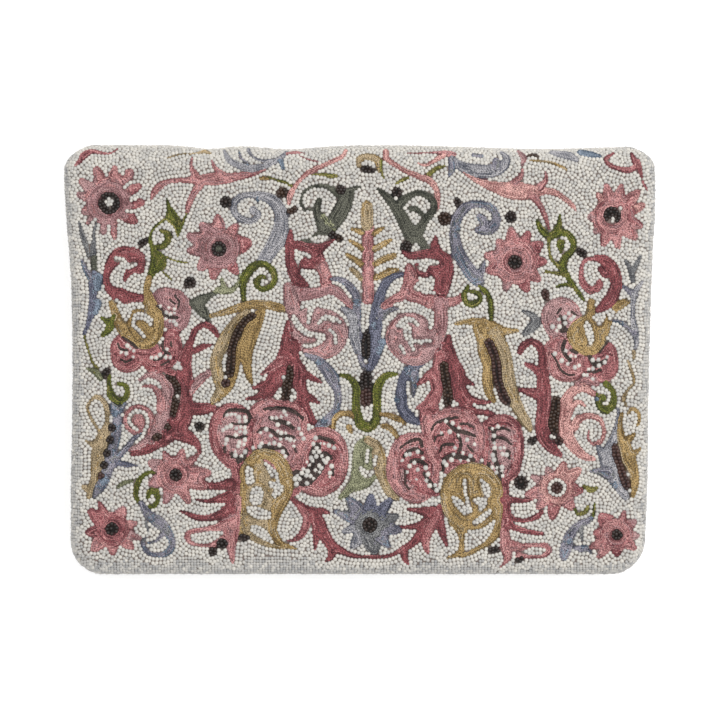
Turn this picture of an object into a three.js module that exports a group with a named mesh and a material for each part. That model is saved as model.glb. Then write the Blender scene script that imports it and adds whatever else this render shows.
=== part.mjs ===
// A full-flap evening clutch, lying shut on its back. One beaded wall makes the back panel, turns over
// a soft fold and comes down the whole front as the flap. Under the flap a silk pocket front and two
// pleated gussets make the pouch, and a press stud holds the flap shut.
// Millimetres, +Z up, +Y towards the fold, origin under the middle of the back panel.
import * as THREE from "three";

// Driving dimensions
const WIDTH = 228; // across the widest place, just below the fold
const HEIGHT = 166; // from the fold's crest to the flap's hem
const THICKNESS = 18; // of the shut clutch along its rim
const CROWN = 2; // how far the flap's middle swells above its rim
const CROWN_RISE = 0.38; // share of the half width or length over which it swells
const BEADED_WALL = 2.4; // cloth, interlining and beads together
const SILK_WALL = 1.2; // doubled silk of the pocket front and the gussets
const SEWN_GAP = 0.3; // kept between pieces that are sewn to each other
const EDGE_ROLL = 5; // radius of the turned edge round the flap and the back panel
const HEM_CORNER = 13; // radius of the corners at the hem, seen from the front
const BACK_INSET = 1; // how far the back panel's edge stays inside the flap's
const BACK_TAPER = 30; // length below the fold over which it draws in that far
const FLAP_LIFT = 2.4; // room between the flap and the pocket front, for the press stud
const MOUTH_BELOW_CREST = 25; // how far the pocket's mouth lies below the fold's crest
const POCKET_INSET = 4; // how far the pocket front's sides stay inside the flap's
const POCKET_TURN = 8; // radius of the pocket front's turn at the bottom
const PLEAT_INSET = 6.5; // how far the gusset's sewn edges stay inside the flap's
const PLEAT_DEPTH = 14; // how far the gusset's pleat folds into the pouch
const PLEAT_ROUND = 1.5; // half height of the pleat's rounded fold
const STUD_RADIUS = 5;
const STUD_THICKNESS = 1.5;
const STUD_ABOVE_HEM = 26;

// How far each side edge draws in from half the width, at distances below the fold's crest.
const SIDE_EDGES = [
  { below: 0, left: 6, right: 6 },
  { below: 2, left: 3, right: 3 },
  { below: 4.5, left: 1.2, right: 1.2 },
  { below: 9, left: 0, right: 0.3 },
  { below: 21, left: 0.2, right: 0 },
  { below: 52, left: 2.4, right: 1.4 },
  { below: 98, left: 3, right: 2.6 },
  { below: 130, left: 2.4, right: 3 },
  { below: HEIGHT, left: 2.4, right: 4.6 },
];

// Where the fold's crest sinks a little, by distance to the right of the middle.
const FOLD_DIPS = [
  { at: -58, depth: 1.4, spread: 9 },
  { at: -27, depth: 1.6, spread: 14 },
  { at: 70, depth: 1.5, spread: 34 },
];

// Places worked out from the driving dimensions
const foldRadius = THICKNESS / 2;
const crestY = HEIGHT / 2;
const foldY = crestY - foldRadius; // where the flat walls begin to turn over the fold
const foldLength = Math.PI * foldRadius;
const rollLength = (Math.PI / 2) * EDGE_ROLL;
const rollSpare = rollLength - EDGE_ROLL; // cloth that a turned edge takes up
const cornerRadius = HEM_CORNER + rollSpare;
const flapRun = foldY + crestY + rollSpare; // flat cloth from the fold to the flap's edge
const hemAt = foldLength + flapRun;
const bottomAt = -(flapRun - BACK_INSET);
const pocketTop = THICKNESS - BEADED_WALL - FLAP_LIFT;
const pocketUnder = pocketTop - SILK_WALL;
const mouthY = crestY - MOUTH_BELOW_CREST;
const pocketEndY = -crestY + BACK_INSET + EDGE_ROLL + SEWN_GAP;
const pocketFootInset = BACK_INSET + HEM_CORNER + SEWN_GAP; // clear of the back panel's corners
const turnY = pocketEndY + POCKET_TURN;

const sideInset = new THREE.CubicInterpolant(
  SIDE_EDGES.map((row) => row.below),
  SIDE_EDGES.flatMap((row) => [row.left, row.right]),
  2,
  [0, 0],
);

// Distance from the middle line to the finished edge, on the left (side -1) or the right (side 1).
function edgeAt(side, y) {
  const below = THREE.MathUtils.clamp(crestY - y, 0, HEIGHT);
  return WIDTH / 2 - sideInset.evaluate(below)[side < 0 ? 0 : 1];
}

// The outer surface along the middle line, by cloth length from the back of the fold: negative on the
// back panel, positive over the fold and down the flap. inY and inZ point into the clutch.
function spine(along) {
  if (along < 0) return { y: foldY + along, z: 0, inY: 0, inZ: 1, crest: 0 };
  if (along > foldLength)
    return { y: foldY - (along - foldLength), z: THICKNESS, inY: 0, inZ: -1, crest: 0 };
  const turn = along / foldRadius - Math.PI / 2;
  const [c, s] = [Math.cos(turn), Math.sin(turn)];
  return { y: foldY + foldRadius * c, z: foldRadius * (1 + s), inY: -c, inZ: -s, crest: c * c };
}

function foldDip(x) {
  return FOLD_DIPS.reduce(
    (sum, dip) => sum + dip.depth * Math.exp(-(((x - dip.at) / dip.spread) ** 2)),
    0,
  );
}

// Height of the flap's gentle swelling: flat in the middle and falling away towards every edge.
function crownAt(x, y) {
  const across = 1 - Math.abs(x) / edgeAt(Math.sign(x), y);
  const along = (foldY - y) / (foldY + crestY);
  const rise = (share) => THREE.MathUtils.smoothstep(share, 0, CROWN_RISE);
  return CROWN * rise(across) * rise(along) * rise(1 - along);
}

// Half width of the unrolled cloth.
function clothEdge(side, along) {
  const inset = BACK_INSET * THREE.MathUtils.smoothstep(-along, 0, BACK_TAPER);
  return edgeAt(side, spine(along).y) + rollSpare - inset;
}

// A point of the beaded wall. across and along measure the unrolled cloth, depth goes in from the beads.
function beadedPoint(across, along, depth) {
  const side = across < 0 ? -1 : 1;
  const fromSide = clothEdge(side, along) - Math.abs(across);
  const fromEnd = along < 0 ? along - bottomAt : hemAt - along;
  const corner = new THREE.Vector2(cornerRadius - fromSide, cornerRadius - fromEnd);
  let fromEdge = Math.min(fromSide, fromEnd);
  let outward = fromSide < fromEnd ? new THREE.Vector2(1, 0) : new THREE.Vector2(0, 1);
  if (corner.x > 0 && corner.y > 0) {
    fromEdge = cornerRadius - corner.length();
    outward = corner.normalize();
  }
  let slide = 0;
  let drop = depth;
  if (fromEdge < rollLength) {
    const turn = (rollLength - fromEdge) / EDGE_ROLL;
    slide = (EDGE_ROLL - depth) * Math.sin(turn) - (rollLength - fromEdge);
    drop = EDGE_ROLL - (EDGE_ROLL - depth) * Math.cos(turn);
  }
  const x = across + side * outward.x * slide;
  const at = spine(along + Math.sign(along) * outward.y * slide);
  const y = at.y + at.inY * drop - at.crest * foldDip(x);
  const swell = along > foldLength ? crownAt(x, at.y) : 0;
  return new THREE.Vector3(x, y, at.z + at.inZ * drop + swell);
}

// A closed wall from two grids of points, outer (face 0) and inner (face 1), joined round the rim.
// Rows and columns run so that the first grid faces outwards.
function closedWall(rows, columns, pointAt) {
  const points = [];
  for (const face of [0, 1])
    for (let i = 0; i <= rows; i++)
      for (let j = 0; j <= columns; j++) points.push(pointAt(i, j, face));
  const node = (face, i, j) => (face * (rows + 1) + i) * (columns + 1) + j;
  const triangles = [];
  const quad = (a, b, c, d) => triangles.push(a, b, c, a, c, d);
  for (let i = 0; i < rows; i++)
    for (let j = 0; j < columns; j++) {
      quad(node(0, i, j), node(0, i + 1, j), node(0, i + 1, j + 1), node(0, i, j + 1));
      quad(node(1, i, j), node(1, i, j + 1), node(1, i + 1, j + 1), node(1, i + 1, j));
    }
  for (let j = 0; j < columns; j++) {
    quad(node(0, 0, j), node(0, 0, j + 1), node(1, 0, j + 1), node(1, 0, j));
    quad(node(0, rows, j + 1), node(0, rows, j), node(1, rows, j), node(1, rows, j + 1));
  }
  for (let i = 0; i < rows; i++) {
    quad(node(0, i + 1, 0), node(0, i, 0), node(1, i, 0), node(1, i + 1, 0));
    quad(node(0, i, columns), node(0, i + 1, columns), node(1, i + 1, columns), node(1, i, columns));
  }
  const geometry = new THREE.BufferGeometry().setFromPoints(points);
  geometry.setIndex(triangles);
  geometry.computeVertexNormals();
  return geometry;
}

function piece(name, geometry, colour, roughness, metalness = 0) {
  const material = new THREE.MeshStandardMaterial({ color: colour, roughness, metalness });
  const mesh = new THREE.Mesh(geometry, material);
  mesh.name = name;
  return mesh;
}

const evenly = (from, to, count) =>
  Array.from({ length: count }, (_, k) => from + ((to - from) * k) / count);

// Columns of the beaded wall: close together on the turned edges, evenly spread between them.
const ROLL_COLUMNS = [0, 0.16, 0.34, 0.54, 0.76];
const MIDDLE_COLUMNS = 14;
const wallColumns = [
  ...ROLL_COLUMNS.map((share) => ({ side: -1, share })),
  ...evenly(-1, 1, MIDDLE_COLUMNS).map((place) => ({ place })),
  { place: 1 },
  ...ROLL_COLUMNS.map((share) => ({ side: 1, share })).reverse(),
];

function acrossOf(column, along) {
  const fromEnd = along < 0 ? along - bottomAt : hemAt - along;
  const missing = Math.max(cornerRadius - fromEnd, 0);
  const cut = cornerRadius - Math.sqrt(Math.max(cornerRadius ** 2 - missing ** 2, 0));
  const [left, right] = [-1, 1].map((side) => clothEdge(side, along) - cut);
  if (column.side === -1) return -left + column.share * rollLength;
  if (column.side === 1) return right - column.share * rollLength;
  return THREE.MathUtils.mapLinear(column.place, -1, 1, rollLength - left, right - rollLength);
}

// Cloth lengths of the last rows, which follow the rounded corners to the edge.
const CORNER_ROWS = 7;
const cornerRows = Array.from({ length: CORNER_ROWS + 1 }, (_, k) => {
  const angle = (Math.PI / 2) * (k / CORNER_ROWS);
  return cornerRadius * (1 - Math.sin(angle));
});

function beadedWall(rows) {
  return closedWall(rows.length - 1, wallColumns.length - 1, (i, j, face) =>
    beadedPoint(acrossOf(wallColumns[j], rows[i]), rows[i], face * BEADED_WALL),
  );
}

function flap() {
  const rows = [
    ...evenly(SEWN_GAP / 2, foldLength, 14),
    ...evenly(foldLength, hemAt - cornerRadius, 14),
    ...cornerRows.map((fromEnd) => hemAt - fromEnd),
  ];
  return piece("flap", beadedWall(rows), 0xc9b3ac, 0.5);
}

function backPanel() {
  const rows = [
    ...cornerRows.map((fromEnd) => bottomAt + fromEnd).reverse(),
    ...evenly(bottomAt + cornerRadius, -SEWN_GAP / 2, 8).slice(1),
    -SEWN_GAP / 2,
  ];
  return piece("back_panel", beadedWall(rows), 0xe4e0d8, 0.5);
}

// The silk front of the pouch: a flat sheet under the flap that turns down to the back panel's bottom.
function pocketFront() {
  const TURN_ROWS = 6;
  const stations = [
    ...evenly(mouthY, turnY, 10).map((y) => ({ y, turn: 0, tail: 0 })),
    ...evenly(0, Math.PI / 2, TURN_ROWS).map((turn) => ({ y: turnY, turn, tail: 0 })),
    { y: turnY, turn: Math.PI / 2, tail: pocketTop - POCKET_TURN - BEADED_WALL - SEWN_GAP },
  ];
  const COLUMNS = 14;
  const geometry = closedWall(stations.length - 1, COLUMNS, (i, j, face) => {
    const { y, turn, tail } = stations[i];
    const radius = POCKET_TURN - face * SILK_WALL;
    const inset = THREE.MathUtils.lerp(pocketFootInset, POCKET_INSET, Math.cos(turn));
    const [left, right] = [-1, 1].map((side) => edgeAt(side, y) - inset);
    const x = THREE.MathUtils.mapLinear(j, 0, COLUMNS, -left, right);
    const z = pocketTop - POCKET_TURN + radius * Math.cos(turn) - tail;
    return new THREE.Vector3(x, y - radius * Math.sin(turn), z + crownAt(x, y) * Math.cos(turn));
  });
  return piece("pocket_front", geometry, 0xe8dfcf, 0.6);
}

// A pleated side of the pouch: silk that folds inwards between the pocket front and the back panel.
function gusset(name, side) {
  const top = pocketUnder - SEWN_GAP - SILK_WALL;
  const bottom = BEADED_WALL + SEWN_GAP + SILK_WALL;
  const middle = (top + bottom) / 2;
  const section = [
    { inward: 0, z: top },
    { inward: PLEAT_DEPTH / 2, z: (top + middle + PLEAT_ROUND) / 2 },
    { inward: PLEAT_DEPTH - PLEAT_ROUND, z: middle + PLEAT_ROUND },
    { inward: PLEAT_DEPTH, z: middle },
    { inward: PLEAT_DEPTH - PLEAT_ROUND, z: middle - PLEAT_ROUND },
    { inward: PLEAT_DEPTH / 2, z: (bottom + middle - PLEAT_ROUND) / 2 },
    { inward: 0, z: bottom },
  ];
  const ROWS = 10;
  const from = turnY + SEWN_GAP;
  const to = mouthY;
  const last = section.length - 1;
  const geometry = closedWall(ROWS, last, (i, j, face) => {
    const k = side < 0 ? j : last - j;
    const before = section[Math.max(k - 1, 0)];
    const after = section[Math.min(k + 1, last)];
    const run = new THREE.Vector2(after.inward - before.inward, after.z - before.z).normalize();
    const offset = (0.5 - face) * SILK_WALL;
    const y = THREE.MathUtils.mapLinear(i, 0, ROWS, from, to);
    const inward = PLEAT_INSET + section[k].inward + run.y * offset;
    return new THREE.Vector3(side * (edgeAt(side, y) - inward), y, section[k].z - run.x * offset);
  });
  return piece(name, geometry, 0xe2d8c6, 0.6);
}

// One half-turned metal fastener between the flap and the pocket front, hidden when shut.
function pressStud() {
  const profile = [
    [0, 0],
    [STUD_RADIUS, 0],
    [STUD_RADIUS, STUD_THICKNESS * 0.4],
    [STUD_RADIUS * 0.62, STUD_THICKNESS * 0.6],
    [STUD_RADIUS * 0.5, STUD_THICKNESS],
    [0, STUD_THICKNESS],
  ].map(([r, z]) => new THREE.Vector2(r, z));
  const geometry = new THREE.LatheGeometry(profile, 24).rotateX(Math.PI / 2);
  const mesh = piece("press_stud", geometry, 0xb5a67c, 0.35, 1);
  const y = -crestY + STUD_ABOVE_HEM;
  mesh.position.set(0, y, pocketTop + crownAt(0, y) + SEWN_GAP);
  return mesh;
}

const clutch = new THREE.Group();
clutch.add(backPanel(), pocketFront(), gusset("gusset_left", -1), gusset("gusset_right", 1), pressStud(), flap());

export default clutch;
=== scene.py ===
# A beaded evening clutch, lying shut on its back.
import math

import bmesh
import bpy
import numpy as np
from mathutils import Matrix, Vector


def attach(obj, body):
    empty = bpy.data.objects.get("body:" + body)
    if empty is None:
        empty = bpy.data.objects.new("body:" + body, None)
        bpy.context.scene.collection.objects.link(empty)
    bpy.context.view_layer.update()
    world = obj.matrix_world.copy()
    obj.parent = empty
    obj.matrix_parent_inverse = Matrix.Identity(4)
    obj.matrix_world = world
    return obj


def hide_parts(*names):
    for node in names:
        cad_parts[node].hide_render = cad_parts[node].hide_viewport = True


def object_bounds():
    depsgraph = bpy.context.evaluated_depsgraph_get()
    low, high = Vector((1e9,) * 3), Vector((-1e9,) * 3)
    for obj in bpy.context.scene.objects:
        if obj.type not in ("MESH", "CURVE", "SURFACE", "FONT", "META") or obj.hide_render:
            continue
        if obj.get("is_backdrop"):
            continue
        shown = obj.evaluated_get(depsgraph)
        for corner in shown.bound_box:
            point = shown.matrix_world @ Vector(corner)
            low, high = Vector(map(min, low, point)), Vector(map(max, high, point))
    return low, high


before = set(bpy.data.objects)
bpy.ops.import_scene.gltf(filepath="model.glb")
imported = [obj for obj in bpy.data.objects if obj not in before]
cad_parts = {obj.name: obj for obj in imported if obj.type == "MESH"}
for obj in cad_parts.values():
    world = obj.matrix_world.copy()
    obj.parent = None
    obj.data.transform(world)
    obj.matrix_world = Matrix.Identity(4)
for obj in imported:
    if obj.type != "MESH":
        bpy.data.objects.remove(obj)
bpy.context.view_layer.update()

# The flap's cloth. One panel of cotton over a stiff interlining is turned over the soft fold at the top
# and comes down the whole front, with its edge turned under. Everything below is laid out on this
# cloth unrolled flat, in millimetres: across from the middle, along from the back of the fold.
WIDTH, HEIGHT, THICKNESS = 228.0, 166.0, 18.0
CROWN, CROWN_RISE = 2.0, 0.38
EDGE_ROLL, HEM_CORNER = 5.0, 13.0
BACK_INSET, BACK_TAPER = 1.0, 30.0
WALL = 2.4
CLOTH_UNDER_BEADS = 0.85
SEAM_GAP = 0.15
FOLD_ROWS, FRONT_ROWS, CORNER_ROWS, FLAP_COLUMNS = 20, 76, 14, 124
MM_PER_METRE, TINY = 1000, 1e-9
BELOW_CREST = np.array([0, 2, 4.5, 9, 21, 52, 98, 130, 166.0])
LEFT_DRAWN_IN = np.array([6, 3, 1.2, 0, 0.2, 2.4, 3, 2.4, 2.4])
RIGHT_DRAWN_IN = np.array([6, 3, 1.2, 0.3, 0, 1.4, 2.6, 3, 4.6])
FOLD_DIPS = [(-58, 1.4, 9), (-27, 1.6, 14), (70, 1.5, 34)]
FOLD_RADIUS = THICKNESS / 2
CREST_Y = HEIGHT / 2
FOLD_Y = CREST_Y - FOLD_RADIUS
FOLD_LENGTH = math.pi * FOLD_RADIUS
ROLL_LENGTH = math.pi / 2 * EDGE_ROLL
ROLL_SPARE = ROLL_LENGTH - EDGE_ROLL
CORNER = HEM_CORNER + ROLL_SPARE
FLAP_RUN = FOLD_Y + CREST_Y + ROLL_SPARE
HEM_AT = FOLD_LENGTH + FLAP_RUN
BOTTOM_AT = -(FLAP_RUN - BACK_INSET)


def smooth_through(places, values, at):
    """The height at some places of a smooth curve through the given values."""
    slopes = np.diff(values) / np.diff(places)
    lean = np.concatenate([slopes[:1], (slopes[1:] + slopes[:-1]) / 2, slopes[-1:]])
    k = np.clip(np.searchsorted(places, at) - 1, 0, len(places) - 2)
    run = places[k + 1] - places[k]
    t = (at - places[k]) / run
    start = values[k] * (1 + 2 * t) + run * lean[k] * t
    end = values[k + 1] * (3 - 2 * t) + run * lean[k + 1] * (t - 1)
    return start * (1 - t) ** 2 + end * t * t


def smoothstep(share):
    share = np.clip(share, 0, 1)
    return share * share * (3 - 2 * share)


def edge_at(side, y):
    """How far the outline is from the middle, on the left (side < 0) or the right."""
    below = np.clip(CREST_Y - y, 0, HEIGHT)
    left = smooth_through(BELOW_CREST, LEFT_DRAWN_IN, below)
    right = smooth_through(BELOW_CREST, RIGHT_DRAWN_IN, below)
    return WIDTH / 2 - np.where(side < 0, left, right)


def spine(along):
    """The fold seen from the side: y and z of the cloth, and the way inwards."""
    turn = np.clip(along / FOLD_RADIUS, 0, math.pi) - math.pi / 2
    y = FOLD_Y + FOLD_RADIUS * np.cos(turn) + np.minimum(along, 0) - np.maximum(along - FOLD_LENGTH, 0)
    return y, FOLD_RADIUS * (1 + np.sin(turn)), -np.cos(turn), -np.sin(turn)


def crown_at(x, y):
    """The swell of the front over what is inside."""
    across = 1 - np.abs(x) / edge_at(x, y)
    along = (FOLD_Y - y) / (FOLD_Y + CREST_Y)
    rises = [smoothstep(share / CROWN_RISE) for share in (across, along, 1 - along)]
    return CROWN * rises[0] * rises[1] * rises[2]


def cloth_edge(side, along):
    return edge_at(side, spine(along)[0]) + ROLL_SPARE - BACK_INSET * smoothstep(-along / BACK_TAPER)


def wrap(across, along, depth):
    """The point of the finished clutch, in millimetres, for a place on the unrolled cloth."""
    side = np.where(across < 0, -1.0, 1.0)
    from_side = cloth_edge(side, along) - np.abs(across)
    from_end = np.where(along < 0, along - BOTTOM_AT, HEM_AT - along)
    corner_x, corner_y = CORNER - from_side, CORNER - from_end
    rounded = (corner_x > 0) & (corner_y > 0)
    reach = np.hypot(corner_x, corner_y) + TINY
    from_edge = np.where(rounded, CORNER - reach, np.minimum(from_side, from_end))
    out_x = np.where(rounded, corner_x / reach, from_side < from_end)
    out_y = np.where(rounded, corner_y / reach, from_side >= from_end)
    rolled = np.maximum(ROLL_LENGTH - from_edge, 0)
    slide = (EDGE_ROLL - depth) * np.sin(rolled / EDGE_ROLL) - rolled
    drop = EDGE_ROLL - (EDGE_ROLL - depth) * np.cos(rolled / EDGE_ROLL)
    x = across + side * out_x * slide
    y, z, in_y, in_z = spine(along + np.sign(along) * out_y * slide)
    dip = sum(deep * np.exp(-(((x - at) / spread) ** 2)) for at, deep, spread in FOLD_DIPS)
    swell = np.where(along > FOLD_LENGTH, crown_at(x, y), 0)
    return np.stack([x, y + in_y * drop - in_y**2 * dip, z + in_z * drop + swell], axis=-1)


def row_edges(along):
    """Where rows across the unrolled cloth begin and end, inside its rounded corners."""
    from_end = np.where(along < 0, along - BOTTOM_AT, HEM_AT - along)
    missing = np.clip(CORNER - from_end, 0, CORNER)
    cut = CORNER - np.sqrt(CORNER**2 - missing**2)
    return cut - cloth_edge(-1.0, along), cloth_edge(1.0, along) - cut


def sewn_sheet(name, points, unrolled, thickness):
    """A closed sheet of cloth from rows of outer points in millimetres, thickened inwards."""
    rows, columns = points.shape[:2]
    bm = bmesh.new()
    bmesh.ops.create_grid(bm, x_segments=columns - 1, y_segments=rows - 1, size=1)
    places = np.array([v.co for v in bm.verts])
    i = np.rint((1 - places[:, 1]) / 2 * (rows - 1)).astype(int)
    j = np.rint((1 + places[:, 0]) / 2 * (columns - 1)).astype(int)
    uv_map = bm.loops.layers.uv.new("unrolled")
    for face in bm.faces:
        face.smooth = True
        for loop in face.loops:
            k = loop.vert.index
            loop[uv_map].uv = unrolled[i[k], j[k]]
    for vert, point in zip(bm.verts, points[i, j] / MM_PER_METRE):
        vert.co = point
    bm.normal_update()
    bmesh.ops.solidify(bm, geom=bm.faces[:], thickness=thickness / MM_PER_METRE)
    return finished(name, bm)


def wrapped_sheet(name, rows, columns, depth):
    left, right = row_edges(rows)
    across = left[:, None] + (right - left)[:, None] * np.linspace(0, 1, columns + 1)
    along = np.broadcast_to(rows[:, None], across.shape)
    return sewn_sheet(name, wrap(across, along, depth), np.stack([across, along], axis=-1), WALL - depth)


def finished(name, bm):
    mesh = bpy.data.meshes.new(name)
    bm.to_mesh(mesh)
    bm.free()
    piece = bpy.data.objects.new(name, mesh)
    bpy.context.collection.objects.link(piece)
    return piece


corner_rows = CORNER * (1 - np.sin(np.linspace(0, math.pi / 2, CORNER_ROWS)))
flap_rows = np.concatenate([
    np.linspace(SEAM_GAP, FOLD_LENGTH, FOLD_ROWS, endpoint=False),
    np.linspace(FOLD_LENGTH, HEM_AT - CORNER, FRONT_ROWS, endpoint=False),
    HEM_AT - corner_rows,
])
flap_cloth = wrapped_sheet("flap_cloth", flap_rows, FLAP_COLUMNS, CLOTH_UNDER_BEADS)
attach(flap_cloth, "root")
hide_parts("flap")

# The pattern on the flap: flowers, scrolls, leaves and split pomegranates, drawn as strokes on a chart
# of 0.384 mm steps. Each entry is a thread or bead colour and its strokes, and a stroke is a middle line
# of (right, down, width). Later strokes cover earlier ones, and white is where the ground shows again.
CHART_STEP = 0.3838
CHART_MIDDLE = (360, 359.3)
FLOWERS = [
    # thread, centre, body radius, eye, petals (tip x, y, width, thread)
    ("pink", (109, 203), 23, (109, 203, 22), [
        (96, 168, 9, "rose"), (115, 166, 7, "rose"), (131, 171, 11, "rose"), (141, 185, 7, "crimson"),
        (144, 203, 8, "crimson"), (136, 222, 9, "crimson"), (115, 240, 5, "rose"),
        (103, 235, 6, "mauve"), (88, 224, 7, "mauve"), (83, 212, 9, "mauve"), (77, 194, 7, "mauve"),
        (80, 180, 8, "mauve")]),
    ("pink", (219, 249), 20.5, (219, 249, 15), [
        (218, 216, 9, "rose"), (202, 224, 9, "pink"), (188, 235, 9, "pink"), (188, 251, 8, "pink"),
        (199, 269, 9, "pink"), (213, 278, 9, "rose"), (237, 273, 8, "crimson"),
        (249, 243, 12, "crimson"), (237, 225, 8, "rose")]),
    ("rose", (176, 475), 19, (176, 475, 12.5), [
        (183, 450, 7, "rose"), (199, 454, 5, "rose"), (164, 452, 6, "rose"),
        (150, 462, 9, "mauve"), (150, 484, 9, "pink"), (165, 503, 7, "pink"), (189, 503, 7, "rose"),
        (207, 487, 9, "rose"), (210, 473, 9, "rose")]),
    ("crimson", (112, 529), 17, (112, 529, 13), [
        (99, 502, 5, "crimson"), (90, 511, 9, "crimson"), (87, 533, 8, "crimson"), (93, 550, 9, "rose"),
        (113, 554, 8, "rose"), (132, 548, 8, "rose"), (141, 539, 6, "mauve"), (137, 523, 6, "rose"),
        (124, 508, 8, "rose")]),
    ("slate", (370, 525), 14, (370, 525, 15), [
        (348, 499, 9, "blue"), (334, 511, 6, "blue"), (342, 532, 5, "mist"), (352, 547, 8, "mist"),
        (374, 551, 12, "slate"), (389, 547, 7, "blue"), (401, 531, 8, "blue"), (398, 516, 7, "slate"),
        (391, 499, 7, "indigo"), (371, 495, 8, "indigo")]),
    ("rose", (614, 217), 21, (612.5, 215.5, 17.5), [
        (597, 193, 5, "blush"), (606, 184, 7, "rose"), (622, 185, 7, "rose"),
        (639, 191, 8, "rose"), (645, 205, 7, "blush"), (642, 226, 8, "rose"), (636, 238, 9, "rose"),
        (618, 248, 7, "rose"), (603, 245, 8, "rose"), (595, 232, 8, "mauve"), (590, 217, 10, "mauve")]),
    ("rose", (515, 262), 22.5, (515, 262, 14), [
        (511, 229, 9, "rose"), (529, 232, 8, "crimson"), (541, 244, 10, "crimson"),
        (546, 262, 8, "crimson"), (539, 280, 9, "rose"), (527, 291, 9, "crimson"),
        (505, 291, 7, "mauve"), (488, 271, 10, "rose"), (486, 255, 9, "rose"), (498, 241, 9, "rose")]),
    ("blush", (557, 488), 17, (557, 488, 10), [
        (547, 468, 7, "mauve"), (564, 463, 8, "blush"), (580, 469, 8, "blush"),
        (581, 491, 9, "crimson"), (572, 508, 9, "rose"), (552, 519, 8, "crimson"),
        (537, 508, 7, "rose"), (526, 495, 8, "rose"), (531, 476, 6, "mauve")]),
    ("rose", (617, 535), 16.5, (617, 535, 11), [
        (602, 516, 11, "crimson"), (625, 511, 5, "rose"), (636, 521, 7, "pink"),
        (640, 536, 6, "mauve"), (636, 549, 7, "rose"), (617, 555, 8, "maroon"), (598, 558, 6, "rose"),
        (591, 548, 7, "rose"), (596, 533, 9, "crimson")]),
]
EYES = [
    ("white", [(109, 202, 9)], [(613, 220, 5.5)], [(620.5, 209, 4.5)], [(557, 488, 19)]),
    ("plum", [(557, 488, 11.5)]),
    ("charcoal", [(219, 249, 7)]),
    ("white", [(101, 164, 3.5), (107, 175, 3.5)], [(122, 164, 4), (123, 174, 3.5)], [(134, 179, 4),
        (125, 187, 4)], [(146, 190, 6), (132, 199, 6)], [(144, 211.5, 4), (127, 211.5, 4)],
        [(126, 230, 8), (119, 221, 4)], [(109, 240, 4), (109, 227, 4)], [(88, 232, 6), (95, 220, 4)],
        [(72, 220, 5), (84, 217, 3.5)], [(88, 168, 6), (92, 176, 3.5)]),
]
SEEDS = [
    # small pomegranate, left
    (161, 306), (169, 308), (174.5, 309), (167, 312.5), (170.5, 314), (174.5, 313), (166, 318.5),
    (170, 321), (174, 321.5), (176.5, 324.5), (128, 346), (130.5, 348.5), (134, 351), (121.5, 352.5),
    (126.5, 353.5), (133.5, 357), (151.5, 358), (156.5, 358), (160.5, 355), (166, 357), (170.5, 357.5),
    (167.5, 349), (179, 363.5), (176.5, 367), (180.5, 368),
    # small pomegranate, right
    (568.5, 313.5), (564.5, 317.5), (559, 319.5), (571, 319.5), (574, 317), (565, 323.5), (552.5, 326.5),
    (559.5, 327), (556.5, 330.5), (555, 353.5), (565.5, 351), (571, 356), (575.5, 356.5), (561.5, 360.5),
    (567.5, 364), (575, 367.5), (579, 365.5), (592.5, 360), (598.5, 359.5), (607, 357), (604.5, 362.5),
    (599, 366), (592.5, 368.5), (588.5, 369), (587, 375), (592.5, 379),
    # large pomegranate, left
    (227.5, 415), (231.5, 414.5), (235.5, 414.5), (239, 417.5), (239.5, 421.5), (245, 417.5), (246, 421),
    (231, 426), (227, 427.5), (223.5, 430), (236.5, 428), (240.5, 427), (245, 427.5), (240, 431.5),
    (245, 432), (236, 435), (227, 439.5), (225.5, 443.5), (245, 440), (239.5, 442.5), (238.5, 446),
    (244, 444.5), (235.5, 451), (235.5, 455), (241.5, 456), (245, 452), (284, 411.5), (281.5, 416.5),
    (286.5, 415), (272, 418), (276.5, 418), (278, 424.5), (289, 423), (260.5, 432.5), (266.5, 429.5),
    (271, 435.5), (278, 431), (281.5, 433), (286, 433), (299, 429), (301.5, 434), (303.5, 438.5),
    (280.5, 439), (287, 438.5), (290.5, 440), (294.5, 441), (294, 446), (262, 443), (260, 446),
    (269.5, 444), (274.5, 443), (279.5, 445), (283, 451.5), (285.5, 456.5), (316, 438), (313.5, 444),
    (321, 443), (324.5, 444), (329, 445.5), (334, 448), (317, 448.5), (319, 451.5), (314, 452),
    (316.5, 456.5), (311, 458), (313, 461), (307, 462), (309.5, 465), (322, 456), (328, 458.5),
    (323.5, 459.5), (326, 462), (319, 465.5), (321.5, 468), (315.5, 470), (319.5, 471.5), (331.5, 466),
    (330, 473), (330, 477), (304, 469), (307.5, 471), (302, 473), (306.5, 475), (310.5, 476),
    (313.5, 478), (297.5, 475.5), (295, 479), (300, 479), (297, 484), (307, 483.5),
    # large pomegranate, right
    (406.5, 454.5), (410, 454), (418, 451.5), (423, 458), (402.5, 460.5), (414.5, 462.5), (409.5, 466),
    (418, 469.5), (407.5, 471.5), (426, 468), (428, 474), (416.5, 479.5), (426.5, 480.5), (429.5, 485.5),
    (435.5, 485), (437, 490), (446, 421.5), (453, 423), (459, 427.5), (441.5, 433), (450, 431.5),
    (458.5, 436), (467, 440), (474.5, 444.5), (455, 447.5), (454, 454), (463, 453), (470.5, 456),
    (451.5, 459.5), (460.5, 460.5), (468, 460.5), (444, 462), (446.5, 465), (492.5, 429), (498, 426.5),
    (494, 436), (494.5, 444), (494.5, 448), (500.5, 448), (504.5, 447.5), (506.5, 454.5), (502.5, 454),
    (493, 455), (494, 459.5), (492.5, 467), (497, 468), (502, 467), (502, 470.5), (496.5, 472.5),
    (502.5, 476),
]
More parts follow.
